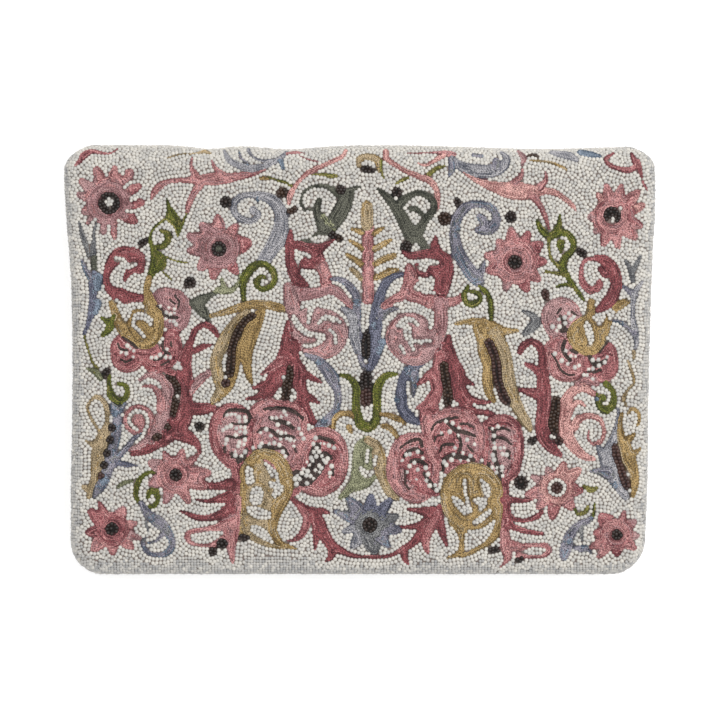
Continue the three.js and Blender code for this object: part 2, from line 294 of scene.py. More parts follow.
STROKES = [
    # top left
    ("crimson", [(75, 165, 3), (80, 160, 5), (84, 154, 8), (92, 150, 5), (104, 152, 3), (112, 151, 2),
        (117, 147, 2)]),
    ("tan", [(168, 157, 2), (180, 153, 2), (195, 152, 2), (204, 150, 5), (210, 152, 3)]),
    ("rose", [(151, 199, 2), (155, 191, 7), (161, 185, 7), (170, 181, 5), (185, 180, 5.5), (198, 180, 9),
        (212, 179, 13), (226, 178, 11), (240, 176, 8), (254, 173, 6), (264, 169, 4), (269, 166, 2)],
        [(192, 157, 2), (191, 166, 3.5), (195, 175, 8)], [(212, 160, 2), (215, 168, 4), (223, 174, 6)],
        [(201, 184, 8), (194, 193, 7), (189, 204, 6), (187, 213, 3)]),
    ("green", [(167, 199, 1.5), (169, 208, 5), (172, 217, 12), (177, 224, 9), (178, 236, 2)],
        [(187, 213, 2), (183, 223, 2.5), (178, 236, 2)], [(166, 219, 3), (156, 226, 2.5), (151, 234, 3),
        (151, 243, 4), (154, 252, 7), (157, 262, 13), (153, 271, 9), (149, 279, 6)], [(158, 256, 10),
        (160, 263, 14), (154, 271, 8)]),
    ("olive", [(166, 257, 2), (176, 261, 1.6), (188, 263, 1.6)], [(163, 272, 2), (172, 280, 1.6)]),
    ("green", [(161, 231, 3), (167, 233, 6), (168, 240, 7), (163, 246, 6), (155, 247, 4)]),
    ("gold", [(149, 278, 6), (147, 290, 7), (148, 302, 9), (152, 312, 12)]),
    ("slate", [(79, 222, 2), (82, 234, 5), (86, 246, 5), (88, 256, 3)], [(97, 220, 2), (94, 232, 3),
        (94, 245, 3), (95, 260, 4)], [(94, 240, 4), (93, 250, 6), (93, 260, 6)]),
    ("charcoal", [(94, 258, 6), (94, 272, 7)]),
    ("indigo", [(94, 273, 6), (93, 282, 9), (93, 296, 8), (92, 308, 8), (90, 318, 6), (87, 327, 4),
        (84, 334, 4)]),
    ("blue", [(82, 261, 3), (85, 269, 5), (91, 278, 7)]),
    ("teal", [(98, 277, 9), (97, 287, 9)], [(98, 303, 8), (95, 312, 7)]),
    ("olive", [(84, 336, 2), (88, 349, 2), (92, 361, 2), (97, 368, 3)]),
    # left maroon scroll
    ("maroon", [(139, 268, 12), (136, 257, 16), (122, 254, 15), (113, 261, 13), (108, 273, 9),
        (110, 285, 12), (118, 294, 15), (130, 298, 13), (141, 298, 8)], [(125, 279, 5), (130, 271, 8),
        (138, 266, 12)]),
    ("white", [(116, 259, 5), (123, 260, 5), (127, 266, 6), (135, 264, 5)], [(121, 269, 5), (115, 274, 8),
        (114, 281, 8), (119, 284, 8)], [(131, 281, 8), (136, 283, 12), (139, 287, 9)]),
    # left small pomegranate
    ("pink", [(166, 303, 32), (173, 308, 36), (176, 318, 28)]),
    ("crimson", [(127, 350, 34), (128, 356, 34)], [(150, 355, 26), (156, 361, 26)], [(172, 336, 16),
        (173, 348, 19), (170, 358, 18)]),
    ("gold", [(112, 303, 7), (116, 315, 9), (122, 327, 12), (133, 337, 15), (146, 342, 15),
        (156, 335, 12), (159, 325, 10), (157, 313, 11), (151, 304, 12), (147, 291, 7)]),
    ("ochre", [(138, 320, 22), (143, 331, 22)]),
    ("white", [(117, 301, 4.5), (120.5, 304.5, 4)], [(127, 306, 4), (133, 304.5, 4.5), (138, 304, 4)],
        [(129, 308, 6), (128, 313, 7), (127, 318, 5)], [(133.5, 322, 4.5), (136, 317, 7), (141, 316, 8),
        (146, 317.5, 7), (150, 321, 6), (151, 324.5, 4.5)], [(134, 326, 4.5), (139, 331, 5),
        (143.5, 336, 5)]),
    ("green", [(102, 318, 3), (108, 322, 6), (110, 328, 8), (103, 335, 5)], [(114, 316, 4),
        (109, 326, 7)]),
    ("black", [(157.5, 306, 2.3), (162, 310, 2.7), (166, 316, 3.9), (171, 317, 3.9), (177, 318, 3.1)],
        [(175, 296, 2), (179, 301, 2), (178.5, 307, 2)], [(170, 300, 2), (175, 304, 2)], [(118, 344, 2),
        (121, 349, 2.3), (127, 350, 3.1)], [(123, 337, 2.3), (129, 341.5, 3.1), (136, 347, 3.5)],
        [(121, 359.5, 2), (126, 362, 2), (132, 359.5, 2)], [(154, 360, 2.3), (160, 359, 2.7),
        (165, 355, 2.7)], [(162, 365, 2), (169, 361.5, 2)], [(162.5, 342, 2.3), (164, 350, 3.1),
        (170, 354, 2.7)], [(171, 342, 2), (171.5, 346, 2)]),
    ("charcoal", [(193, 303, 8), (202, 300, 11), (209, 296, 6), (217, 292, 4)], [(198, 305, 13),
        (203, 312, 11), (209, 319, 4)]),
    ("sage", [(217, 290, 5), (224, 291, 7), (232, 290, 6), (238, 283, 4), (241, 275, 3)], [(222, 279, 3),
        (224, 288, 6)]),
    ("dark", [(190, 283, 12)], [(200, 427, 10)], [(141, 244, 7), (146, 241, 6)]),
    # left hook and trunk
    ("maroon", [(218, 336, 4), (212, 328, 7), (204, 325, 6), (196, 330, 6), (191, 341, 7), (187, 353, 11),
        (184, 368, 16), (185, 384, 17), (184, 398, 17), (184, 410, 20), (178, 424, 22), (168, 436, 15),
        (155, 445, 11), (143, 451, 8), (133, 454, 5)], [(190, 409, 12), (202, 409, 13), (212, 408, 9)],
        [(176, 432, 16), (188, 437, 13), (197, 444, 7), (200, 453, 4)], [(195, 351, 6), (203, 347, 6),
        (211, 345, 3)]),
    ("mauve", [(192, 394, 3), (197, 383, 9), (206, 375, 8), (215, 371, 6)], [(140, 380, 3), (150, 375, 6),
        (162, 379, 9), (168, 390, 11), (167, 404, 13), (163, 417, 14), (156, 430, 14), (147, 441, 11),
        (136, 448, 7), (128, 450, 4)]),
    ("rose", [(143, 387, 2), (151, 386, 4), (157, 391, 6), (161, 399, 8), (161, 409, 9)],
        [(139, 420, 31)]),
    ("white", [(137, 429, 5), (131, 425, 5), (130, 418, 5), (135, 412, 5), (143, 413, 5), (147, 419, 5),
        (147, 427, 5), (143, 435, 5), (134, 443, 5)]),
    ("rose", [(139, 420, 9), (141, 427, 5)]),
    ("crimson", [(166, 370, 6), (173, 373, 7)]),
    ("brown", [(168, 377, 5), (174, 381, 7), (178, 390, 7), (176, 401, 8), (173, 415, 6)],
        [(168, 427, 7)], [(158, 437, 8), (153, 438, 4)]),
    ("white", [(178, 397, 5)], [(178, 366, 7)]),
    ("green", [(110, 373, 3), (109, 384, 5), (112, 396, 8), (120, 401, 7), (127, 395, 6), (126, 386, 5),
        (119, 384, 4)]),
    ("dark", [(104, 376, 7), (108, 371, 7)]),
    ("sage", [(87, 369, 2), (95, 372, 6), (101, 379, 5)]),
    # far left leaf and blue stem
    ("tan", [(91, 400, 3), (97, 397, 5), (104, 402, 5), (107, 412, 5), (107, 422, 5), (105, 432, 10),
        (101, 442, 14), (98, 454, 14), (97, 466, 13), (96, 478, 11), (93, 488, 10), (89, 496, 6)],
        [(90, 402, 3), (87, 408, 3), (90, 416, 3), (95, 425, 3), (100, 432, 4)], [(83, 487, 4),
        (90, 490, 9)], [(86, 441, 2), (93, 445, 6)]),
    ("blue", [(112, 404, 4), (116, 412, 9), (117, 424, 9), (116, 436, 10), (113, 448, 10), (110, 460, 11),
        (107, 472, 11), (103, 482, 11), (98, 490, 9), (94, 497, 4)], [(125, 404, 4), (120, 411, 6)],
        [(141, 434, 3), (134, 439, 5), (127, 447, 6), (120, 455, 7), (115, 464, 8)]),
    ("indigo", [(118, 463, 5), (124, 464, 6), (130, 465, 4), (137, 466, 2)]),
    ("teal", [(105, 478, 8), (101, 485, 7)], [(116, 413, 6)]),
    ("dark", [(112, 428, 8)], [(110, 440, 8)], [(107, 453, 8)], [(104, 465, 8)]),
    ("plum", [(101, 476, 7)]),
    # lower left
    ("green", [(165, 475, 2), (152, 472, 4), (142, 477, 5), (137, 486, 6), (136, 496, 5), (139, 502, 4)],
        [(148, 497, 4), (150, 492, 6), (155, 491, 8), (158, 498, 5), (155, 505, 5), (149, 507, 4)]),
    ("sage", [(118, 487, 3), (124, 483, 5), (133, 481, 3)]),
    ("blue", [(141, 503, 5), (145, 510, 8), (150, 516, 10), (157, 521, 12), (164, 527, 11), (170, 536, 8),
        (172, 545, 7), (168, 552, 7), (160, 555, 5), (151, 554, 5), (145, 549, 5), (143, 542, 4),
        (145, 538, 3)], [(148, 543, 2), (156, 541, 3), (162, 535, 5)]),
    ("slate", [(146, 522, 3), (148, 531, 2.5)]),
    ("teal", [(151, 518, 6)]),
    # top, left of the middle
    ("mist", [(224, 149, 3), (228, 158, 6), (236, 164, 7), (248, 168, 8), (260, 167, 7), (271, 163, 6),
        (281, 157, 6), (286, 151, 4)], [(248, 148, 4), (253, 156, 3), (262, 160, 3), (272, 160, 4)]),
    ("blue", [(239, 149, 2), (241, 157, 2.5), (247, 162, 3)]),
    ("teal", [(281, 160, 5), (283, 168, 4)]),
    ("rose", [(287, 152, 3), (296, 151, 4), (304, 152, 2)], [(300, 155, 2), (309, 159, 2),
        (318, 161, 2)]),
    ("blush", [(346, 149, 4), (342, 156, 5), (332, 161, 5), (318, 168, 5), (308, 173, 5), (300, 180, 4),
        (294, 188, 5), (290, 196, 6), (289, 204, 3)]),
    ("olive", [(313, 175, 2), (323, 174, 3), (330, 176, 5), (336, 176, 4)]),
    ("gold", [(261, 178, 4), (268, 179, 3)]),
    ("olive", [(268, 177, 2), (277, 180, 2.5), (285, 182, 3), (291, 186, 3)]),
    ("tan", [(359, 165, 5), (360, 158, 7), (369, 156, 8), (378, 160, 8), (380, 170, 6)]),
    ("olive", [(381, 160, 2), (381, 170, 3), (384, 178, 2)]),
    ("dark", [(362, 170, 5), (368, 169, 7), (373, 171, 5)]),
    ("mist", [(253, 210, 8), (258, 215, 7), (252, 221, 6), (243, 220, 7), (235, 213, 7), (234, 204, 7),
        (240, 197, 7), (250, 195, 6.5), (262, 196, 9), (273, 201, 12), (280.5, 212, 13.5), (281, 226, 15),
        (277, 240, 17), (270, 251, 15), (264, 260, 13), (258, 265, 7)]),
    ("teal", [(258, 200, 4)]),
    ("dark", [(226, 202, 12)]),
    ("brown", [(282, 193, 11)], [(289, 213, 6), (295, 209, 6)]),
    ("charcoal", [(304, 209, 3), (301, 201, 3), (305, 191, 3), (316, 186, 3), (328, 187, 5),
        (338, 193, 9)], [(361, 187, 1.5), (353, 189, 5), (347, 196, 14), (343, 207, 16), (336, 219, 16),
        (327, 229, 14), (318, 237, 10), (310, 242, 7), (303, 243, 7)], [(319, 201, 6), (317, 209, 8),
        (319, 220, 8), (322, 230, 8)], [(304, 210, 3), (311, 209, 3), (316, 210, 4)]),
    ("white", [(313, 240, 6), (320, 239, 7), (326, 238, 5)]),
    ("sage", [(323, 215, 4), (328, 222, 4), (335, 230, 3)]),
    ("dark", [(341, 190, 10)], [(333, 236, 9)]),
    ("brown", [(340, 239, 8)]),
    # maroon scroll, left of the middle
    ("maroon", [(291, 231, 3), (290, 243, 9), (290, 258, 10), (294, 273, 12), (302, 285, 13)],
        [(297, 245, 9), (308, 248, 10), (320, 248, 9), (329, 243, 5), (334, 240, 2)], [(316, 252, 12),
        (318, 262, 14), (308, 263, 14), (302, 270, 8)]),
    ("rose", [(322, 266, 12), (326, 278, 12), (325, 288, 12)]),
    ("white", [(296, 260, 4), (299, 256, 4), (304, 254, 5), (309, 257, 4)], [(303, 272, 6),
        (310, 277, 11), (316, 284, 9)]),
    ("green", [(244, 301, 5), (243, 290, 6), (245, 278, 8), (252, 268, 9), (262, 264, 7), (271, 269, 7),
        (275, 278, 6), (271, 286, 6), (263, 289, 6), (257, 285, 6), (257, 280, 6), (262, 277, 5),
        (266, 279, 3)]),
    # gold leaf, left
    ("gold", [(211, 316, 4), (222, 313, 6), (236, 309, 8), (250, 305, 9), (266, 305, 9), (280, 308, 8),
        (286, 311, 3)]),
    ("ochre", [(262, 311, 8), (256, 322, 14), (250, 336, 16), (246, 350, 15), (247, 364, 10),
        (249, 376, 7), (252, 383, 3)], [(240, 345, 10), (237, 360, 8), (234, 375, 8), (228, 388, 8),
        (220, 396, 8), (213, 403, 4)]),
    ("tan", [(247, 313, 8), (237, 323, 12), (228, 336, 14), (220, 350, 13), (216, 362, 12),
        (218, 376, 12), (220, 388, 9), (214, 400, 7)]),
    ("brown", [(253, 316, 7), (246, 320, 7), (240, 328, 8), (236, 336, 8), (232, 350, 8), (231, 364, 9),
        (230, 374, 8)]),
    ("plum", [(226, 383, 9)]),
    # rose swirl, left
    ("pink", [(287, 287, 8), (299, 294, 14), (316, 293, 11), (332, 290, 10), (343, 297, 9),
        (353, 308, 5)]),
    ("mauve", [(289, 288, 12), (291, 300, 15), (294, 313, 14), (299, 325, 14), (306, 336, 18)],
        [(314, 331, 48), (323, 334, 50)]),
    ("white", [(309, 322, 5), (310, 312, 6), (315, 305, 6), (325, 302, 7), (339, 303, 6)], [(294, 318, 6),
        (299, 326, 7), (307, 333, 6), (316, 335, 6), (323, 337, 6), (316, 344, 5), (305, 346, 5)],
        [(319, 323, 4), (325, 318, 5), (333, 319, 6), (340, 322, 4)], [(330, 330, 3), (335, 335, 4),
        (336, 343, 4)]),
    # lyre
    ("blue", [(331, 279, 3), (341, 280, 6), (351, 288, 8), (357, 299, 8), (357, 311, 9), (356, 324, 10),
        (357, 338, 11), (361, 352, 10), (366, 364, 12), (369, 368, 8)]),
    ("mist", [(342, 308, 3), (349, 313, 9), (354, 322, 10), (354, 336, 10), (358, 350, 9)]),
    ("indigo", [(402, 275, 5), (393, 277, 7), (386, 283, 9), (381, 293, 10), (378, 305, 12),
        (376, 318, 13), (376, 332, 13), (377, 345, 14), (374, 357, 12), (370, 366, 10)]),
    ("blue", [(398, 308, 4), (390, 308, 9), (382, 314, 12)]),
    ("teal", [(383, 342, 7), (379, 352, 6)], [(374, 325, 6)], [(357, 303, 5)]),
    ("dark", [(367, 332, 5), (366, 341, 9), (366, 349, 9), (366, 356, 8)]),
    ("white", [(366, 362, 5)]),
    ("rose", [(368, 227, 12), (368, 245, 12), (368, 265, 12), (368, 285, 12), (368, 299, 12)]),
    ("tan", [(367, 206, 11), (367, 214, 13), (367, 225, 12)]),
    ("gold", [(352, 229, 3), (358, 231, 5), (362, 233, 5)], [(384, 228, 3), (378, 231, 5), (374, 234, 5)],
        [(350, 241, 3), (357, 245, 5), (362, 249, 5)], [(391, 240, 3), (384, 244, 6), (375, 249, 6)],
        [(347, 255, 4), (354, 259, 6), (361, 264, 6)], [(394, 256, 6), (384, 259, 7), (375, 264, 6)]),
    ("tan", [(351, 269, 4), (357, 274, 6), (361, 279, 5)]),
    ("gold", [(397, 270, 4), (388, 272, 7), (376, 278, 6)]),
    ("dark", [(366, 377, 12), (366, 386, 12)]),
    ("plum", [(366, 394, 11), (366, 402, 10)]),
    ("green", [(341, 375, 4), (350, 378, 6), (356, 388, 8), (356, 400, 8), (357, 412, 9), (361, 424, 10),
        (369, 427, 10), (376, 420, 9), (377, 408, 9), (377, 395, 9), (379, 384, 9), (386, 376, 7),
        (396, 374, 4)]),
    ("blue", [(306, 355, 4), (317, 360, 8), (326, 369, 12), (332, 378, 13), (337, 390, 8), (338, 402, 7),
        (334, 413, 8), (327, 421, 11), (319, 425, 7)]),
    ("teal", [(318, 361, 6)], [(324, 421, 6)]),
    ("indigo", [(424, 362, 5), (415, 367, 10), (409, 375, 16), (404, 386, 15), (401, 398, 12),
        (403, 409, 11), (409, 417, 11), (418, 423, 6)]),
    ("blue", [(414, 374, 10), (414, 386, 7), (413, 396, 3)]),
    ("white", [(408.5, 383, 4), (408.5, 391, 4.5), (409.5, 398, 4)]),
    ("teal", [(407, 370, 7)], [(397, 400, 6)]),
    ("gold", [(333, 428, 4), (335, 419, 6), (341, 414, 6), (350, 414, 6), (353, 418, 3)], [(349, 427, 6),
        (351, 432, 4)], [(381, 414, 4), (391, 416, 6), (400, 420, 5), (405, 424, 3)], [(382, 426, 4),
        (388, 427, 6), (394, 432, 6), (398, 438, 4)]),
    ("sage", [(366, 440, 8), (359, 447, 9), (357, 458, 9), (356, 470, 9), (354, 482, 9), (348, 491, 8),
        (340, 498, 4)], [(367, 450, 16), (367, 464, 26), (364, 478, 20), (354, 488, 8)]),
    ("tan", [(376, 452, 9), (378, 466, 10), (381, 478, 7)], [(368, 440, 8), (377, 446, 9), (382, 458, 8),
        (382, 470, 8), (384, 482, 9), (390, 493, 8), (398, 499, 4)]),
    ("white", [(368, 451, 4), (367, 462, 4)], [(376, 457, 4), (374, 466, 4)], [(361, 469, 5),
        (367, 474, 8), (372, 472, 6)]),
    # fork, left
    ("maroon", [(288, 322, 4), (287, 338, 10), (288, 352, 18), (283, 364, 18), (277, 376, 17),
        (271, 387, 17), (261, 396, 8), (247, 399, 3)]),
    ("crimson", [(281, 361, 10), (269, 369, 6), (262, 374, 3)]),
    ("maroon", [(272, 383, 12), (262, 386, 8), (254, 388, 4)]),
    ("rose", [(251, 421, 6), (254, 411, 9), (262, 405, 9), (272, 401, 7)]),
    ("maroon", [(295, 345, 12), (299, 360, 11), (300, 375, 13), (300, 388, 14), (301, 400, 14),
        (306, 412, 12), (313, 422, 8)], [(304, 372, 7), (312, 378, 6), (321, 382, 3)], [(305, 394, 8),
        (312, 399, 7), (319, 403, 3)]),
    ("white", [(301, 354, 5), (305, 361, 6), (312, 369, 6), (319, 375, 4)]),
    # large pomegranate, left
    ("crimson", [(292, 494, 7), (299, 490, 6)], [(232, 425, 44), (231, 440, 42), (236, 454, 32)]),
    ("mauve", [(236, 421, 26), (232, 435, 27), (236, 448, 18)]),
    ("rose", [(281, 426, 53), (280, 438, 54), (286, 450, 44)]),
    ("pink", [(281, 428, 40), (283, 440, 40), (290, 448, 28)]),
    ("rose", [(322, 453, 52), (320, 466, 56), (318, 474, 46)]),
    ("crimson", [(324, 456, 36), (321, 470, 36)]),
    ("brown", [(290, 368, 6), (290, 376, 8), (287, 384, 9), (287, 392, 9), (285, 397, 8)]),
    ("white", [(284, 378, 5)], [(281, 390, 5), (277, 395, 5)], [(294, 391, 4), (294, 398, 5)]),
    ("black", [(224, 416, 2.3), (228, 411, 3.1), (238, 410, 3.9), (247, 412, 3.9), (250, 418, 3.1),
        (246, 424, 3.1), (238, 424, 2.3), (232, 423, 2)], [(227, 436, 2), (236, 437.5, 2.3),
        (246, 436.5, 3.1)], [(225, 447, 2.3), (224.5, 452, 2)], [(232, 454, 4), (236, 460, 8),
        (243, 457, 6), (247, 450, 4)], [(264, 409, 2), (273, 408, 3.1), (284, 408.5, 3.5),
        (295, 412, 3.9), (303, 419, 2.3)], [(270, 418, 3.9), (279, 421, 4.7), (288, 424, 4.7),
        (293, 428, 3.9)], [(257.5, 432, 2.3), (264, 428.5, 3.1), (272, 431, 3.9), (279, 436, 3.9),
        (287, 436, 3.9), (294, 437, 3.1)], [(295, 449, 2), (296, 452, 2)], [(259, 447, 3.1),
        (265, 446, 3.9), (274, 447.5, 3.9), (283, 448, 3.9), (287, 454, 3.9)], [(319, 437, 3),
        (329, 440, 4), (334, 443, 3)], [(317, 446, 8), (315, 455, 12), (317, 464, 16), (312, 472, 16),
        (304, 479, 15), (297, 474, 9)], [(325, 455, 7.8), (331, 458, 4.7)], [(333, 468, 3.1),
        (333, 475, 2.3)]),
    # gold oval, left
    ("tan", [(258, 472, 26), (260, 490, 36), (256, 508, 34), (256, 526, 28), (262, 538, 12)]),
    ("gold", [(241, 535, 5), (239, 520, 9), (240, 500, 11), (242, 485, 12), (247, 470, 13),
        (255, 458, 12), (265, 454, 11), (277, 459, 13), (284, 470, 14), (287, 485, 14), (283, 498, 14),
        (277, 510, 12), (273, 522, 10), (274, 534, 8), (282, 544, 6), (296, 549, 2)]),
    ("white", [(249, 470, 8), (250, 481, 9)], [(266, 464, 4), (270, 469, 6), (273, 476, 5)],
        [(257, 493, 13), (256, 499, 14)], [(271, 484, 6), (279, 488, 9), (275, 495, 7)], [(249, 509, 6),
        (258, 513, 12), (267, 515, 9)], [(254, 529, 8), (261, 533, 11), (268, 538, 7)]),
    ("tan", [(244, 520, 9), (248, 533, 7), (259, 541, 6), (272, 546, 4), (284, 548, 3)]),
    # fronds, left
    ("crimson", [(233, 462, 7), (236, 478, 9), (234, 492, 12)]),
    ("rose", [(235, 500, 13), (232, 515, 17), (231, 530, 17), (231, 545, 11), (232, 556, 6),
        (233, 563, 3)]),
    ("maroon", [(230, 484, 12), (218, 486, 8), (205, 486, 8)], [(230, 497, 13), (220, 499, 8),
        (208, 501, 4), (197, 500, 3)], [(230, 509, 13), (220, 515, 9), (207, 518, 7), (195, 517, 6),
        (186, 513, 4), (180, 511, 2)]),
    ("rose", [(226, 525, 12), (214, 528, 6), (200, 530, 5), (190, 532, 5), (187, 537, 6), (190, 542, 5),
        (198, 545, 3), (210, 545, 4), (224, 541, 10)]),
    ("dark", [(222, 544, 11)], [(213, 552, 9)], [(242, 538, 8), (247, 538, 6)]),
    # bottom maroon scroll
    ("maroon", [(292, 499, 4), (298, 504, 7), (307, 510, 9), (314, 514, 12), (319, 524, 14),
        (324, 534, 12), (331, 545, 11), (341, 551, 8), (354, 556, 5), (368, 557, 4), (380, 557, 4),
        (392, 555, 4), (400, 551, 5), (410, 545, 7), (420, 536, 11), (429, 526, 15), (435, 516, 14),
        (440, 507, 6)], [(314, 513, 8), (322, 511, 7), (329, 513, 3)], [(316, 528, 8), (316, 540, 6),
        (315, 549, 3)], [(333, 550, 10), (331, 557, 7), (326, 561, 3)]),
    ("crimson", [(300, 508, 6), (306, 516, 8), (306, 526, 8), (301, 535, 7), (294, 540, 4),
        (288, 541, 2)]),
    ("maroon", [(408, 509, 3), (420, 511, 7), (432, 513, 14)], [(399, 527, 3), (410, 527, 5),
        (420, 526, 9), (428, 522, 12)], [(437, 513, 12), (440, 523, 10), (442, 532, 8), (445, 540, 5),
        (447, 546, 3)]),
    ("crimson", [(438, 514, 6), (432, 525, 10), (426, 537, 10), (426, 546, 7), (428, 553, 3)]),
    ("maroon", [(404, 550, 9), (405, 558, 7), (408, 564, 3)]),
    # top, right of the middle
    ("blush", [(386, 150, 6), (387, 158, 6), (396, 165, 5), (408, 172, 5), (420, 177, 6), (430, 181, 7),
        (436, 189, 6), (438, 200, 5), (438, 208, 3)]),
    ("rose", [(408, 152, 1.5), (420, 152, 2), (435, 151, 3), (448, 152, 6), (455, 153, 4)]),
    ("blush", [(443, 155, 6), (433, 161, 4), (425, 165, 3), (418, 163, 2)]),
    ("olive", [(444, 166, 3), (436, 169, 5), (429, 174, 5)], [(396, 184, 2), (400, 181, 3),
        (408, 178, 3)]),
    ("mist", [(452, 157, 5), (460, 165, 10), (474, 170, 13), (490, 171, 14), (502, 166, 12),
        (507, 158, 7), (502, 151, 4)]),
    ("blue", [(450, 158, 4), (452, 168, 7), (449, 176, 3)], [(474, 154, 5), (482, 155, 4)],
        [(496, 160, 7), (496, 167, 7)]),
    ("blush", [(464, 173, 2), (472, 178, 4), (483, 183, 7), (495, 187, 11), (508, 190, 16),
        (520, 191, 18), (532, 192, 14), (545, 191, 8), (556, 193, 6), (565, 199, 5), (572, 205, 5),
        (576, 210, 2)]),
    ("rose", [(523, 169, 2), (521, 176, 5), (514, 183, 8)], [(546, 172, 2), (546, 180, 4), (540, 187, 8)],
        [(533, 196, 9), (540, 205, 6), (545, 216, 5), (549, 228, 3)]),
    ("mauve", [(519, 150, 4), (524, 157, 6), (522, 165, 3)]),
    ("brown", [(528, 155, 3), (534, 154, 4), (538, 156, 3)]),
    ("gold", [(530, 160, 2), (545, 161, 3), (556, 164, 3), (566, 169, 3)]),
    ("mist", [(552, 151, 5), (560, 153, 8), (570, 155, 9), (578, 160, 4)]),
    ("teal", [(581, 151, 7), (591, 153, 7), (600, 155, 4)]),
    ("crimson", [(614, 152, 3), (606, 158, 4), (609, 164, 5), (617, 168, 5), (628, 170, 6), (636, 166, 6),
        (634, 158, 6), (632, 152, 3)], [(638, 160, 5), (640, 169, 5), (642, 177, 3)], [(643, 182, 3),
        (646, 187, 3), (648, 190, 2)]),
    ("charcoal", [(378, 189, 3), (384, 194, 6), (392, 203, 9), (400, 214, 12), (407, 227, 14),
        (414, 238, 16), (422, 246, 12), (427, 251, 6)], [(401, 203, 10), (408, 197, 7), (418, 193, 6),
        (428, 196, 7), (434, 204, 7), (431, 214, 7), (424, 222, 8), (418, 232, 12)], [(411, 209, 6),
        (417, 209, 5), (421, 214, 5), (428, 216, 5)]),
    ("dark", [(397, 192, 10)], [(406, 247, 12)]),
    ("brown", [(445, 219, 14)]),
    ("dark", [(457, 201, 7), (460, 207, 7)], [(511, 217, 12)]),
    ("white", [(413, 253, 5), (416, 246, 5), (421, 253, 4)]),
    ("blue", [(478, 230, 7), (487, 231, 9), (494, 226, 10), (496, 217, 9), (491, 208, 8), (481, 204, 7),
        (468, 206, 9), (460, 214, 10), (455, 226, 10), (455, 240, 11), (458, 252, 13), (464, 263, 13),
        (472, 274, 14), (479, 282, 11)], [(480, 217, 7), (484, 222, 9), (483, 228, 7)], [(484, 262, 3),
        (482, 270, 6), (479, 280, 6)]),
    ("teal", [(458, 228, 5)]),
    ("maroon", [(436, 237, 3), (435, 246, 9), (438, 254, 12)], [(403, 252, 4), (411, 256, 8),
        (421, 255, 9), (432, 254, 10), (444, 259, 13), (448, 269, 12), (446, 281, 12), (442, 293, 11),
        (439, 299, 7)], [(434, 266, 10), (438, 275, 13), (437, 286, 12)], [(417, 265, 5), (420, 273, 6),
        (427, 275, 6), (430, 269, 5)]),
    ("rose", [(409, 267, 7), (411, 280, 15), (411, 292, 16), (420, 300, 14), (434, 302, 14),
        (447, 303, 10), (458, 300, 8), (461, 295, 4)], [(408, 284, 10), (403, 295, 10), (393, 301, 10),
        (384, 306, 7)]),
    ("white", [(420, 268, 6), (426, 263, 7), (437, 263, 5)], [(416, 288, 6), (422, 286, 11),
        (429, 287, 9), (433, 279, 4)]),
    ("green", [(468, 287, 4), (464, 295, 6), (467, 303, 6), (474, 304, 7), (480, 299, 6), (477, 293, 5),
        (471, 292, 4)], [(479, 286, 3), (486, 292, 5), (490, 301, 6), (491, 311, 6), (491, 321, 3)]),
    # rose swirl, right
    ("pink", [(440, 303, 14), (441, 318, 14), (440, 330, 13), (436, 345, 12)]),
    ("mauve", [(410, 337, 49), (415, 341, 50)]),
    ("white", [(396, 305, 5), (405, 305, 7), (417, 307, 7), (427, 313, 7), (431, 322, 6), (430, 328, 4)],
        [(391, 315, 5), (386, 324, 5), (383, 336, 5)], [(399, 326, 6), (404, 321, 7), (411, 320, 6),
        (417, 324, 5)], [(407, 328, 8), (408, 336, 8), (412, 341, 5), (421, 342, 5), (430, 341, 4)],
        [(401, 347, 5), (404, 353, 4)], [(410, 343, 4), (414, 350, 4)]),
    # fork, right
    ("maroon", [(449, 336, 4), (447, 347, 12), (446, 357, 17), (446, 364, 18)]),
    ("crimson", [(440, 356, 12), (437, 368, 11), (435, 378, 12), (437, 390, 11), (433, 400, 15),
        (430, 411, 20), (428, 420, 17)]),
    ("maroon", [(450, 350, 10), (453, 361, 11), (457, 371, 15), (459, 380, 15), (459, 389, 15),
        (463, 398, 17), (470, 406, 14), (482, 411, 9), (493, 414, 4)], [(464, 380, 8), (474, 385, 3)]),
    ("crimson", [(430, 374, 9), (424, 380, 6), (418, 384, 3)], [(428, 402, 8), (418, 408, 4)]),
    ("white", [(474, 405.5, 4), (482, 407, 4.5), (490, 407, 4.5)]),
    ("maroon", [(464, 395, 9), (474, 400, 6), (484, 402, 4.5), (492, 402, 3)]),
    # gold leaf, right
    ("gold", [(455, 324, 3), (465, 322, 6), (478, 322, 8), (492, 327, 12), (504, 331, 8), (517, 331, 4)],
        [(478, 326, 12), (483, 338, 14), (484, 352, 12), (487, 366, 9), (487, 380, 10), (489, 392, 9),
        (494, 401, 5)]),
    ("tan", [(494, 334, 14), (501, 346, 14), (506, 358, 12), (508, 372, 12), (510, 386, 13),
        (514, 400, 13), (520, 412, 11), (526, 422, 10), (530, 429, 6)]),
    ("plum", [(489, 343, 9), (493, 352, 9), (496, 362, 9), (497, 376, 9), (500, 388, 9), (504, 398, 10),
        (507, 402, 8)]),
    ("slate", [(523, 311, 3), (532, 316, 7), (536, 322, 10), (531, 328, 10), (524, 334, 5)]),
    # small pomegranate, right
    ("mauve", [(561, 317, 40), (563, 322, 40)]),
    ("rose", [(560, 353, 34), (566, 361, 42)]),
    ("crimson", [(604, 354, 26), (601, 365, 36)]),
    ("gold", [(584, 335, 34), (588, 338, 36)], [(591, 302, 7), (590, 315, 9), (583, 324, 14)],
        [(604, 332, 10), (609, 320, 8), (614, 309, 9), (622, 304, 9), (629, 302, 4)]),
    ("white", [(587, 325, 7), (589, 332, 8), (591, 339, 7), (589.5, 343.5, 4.5)], [(595, 318, 6),
        (601, 315, 8), (599, 323, 6)], [(607, 311, 5), (611, 313, 8), (610.5, 317, 7)]),
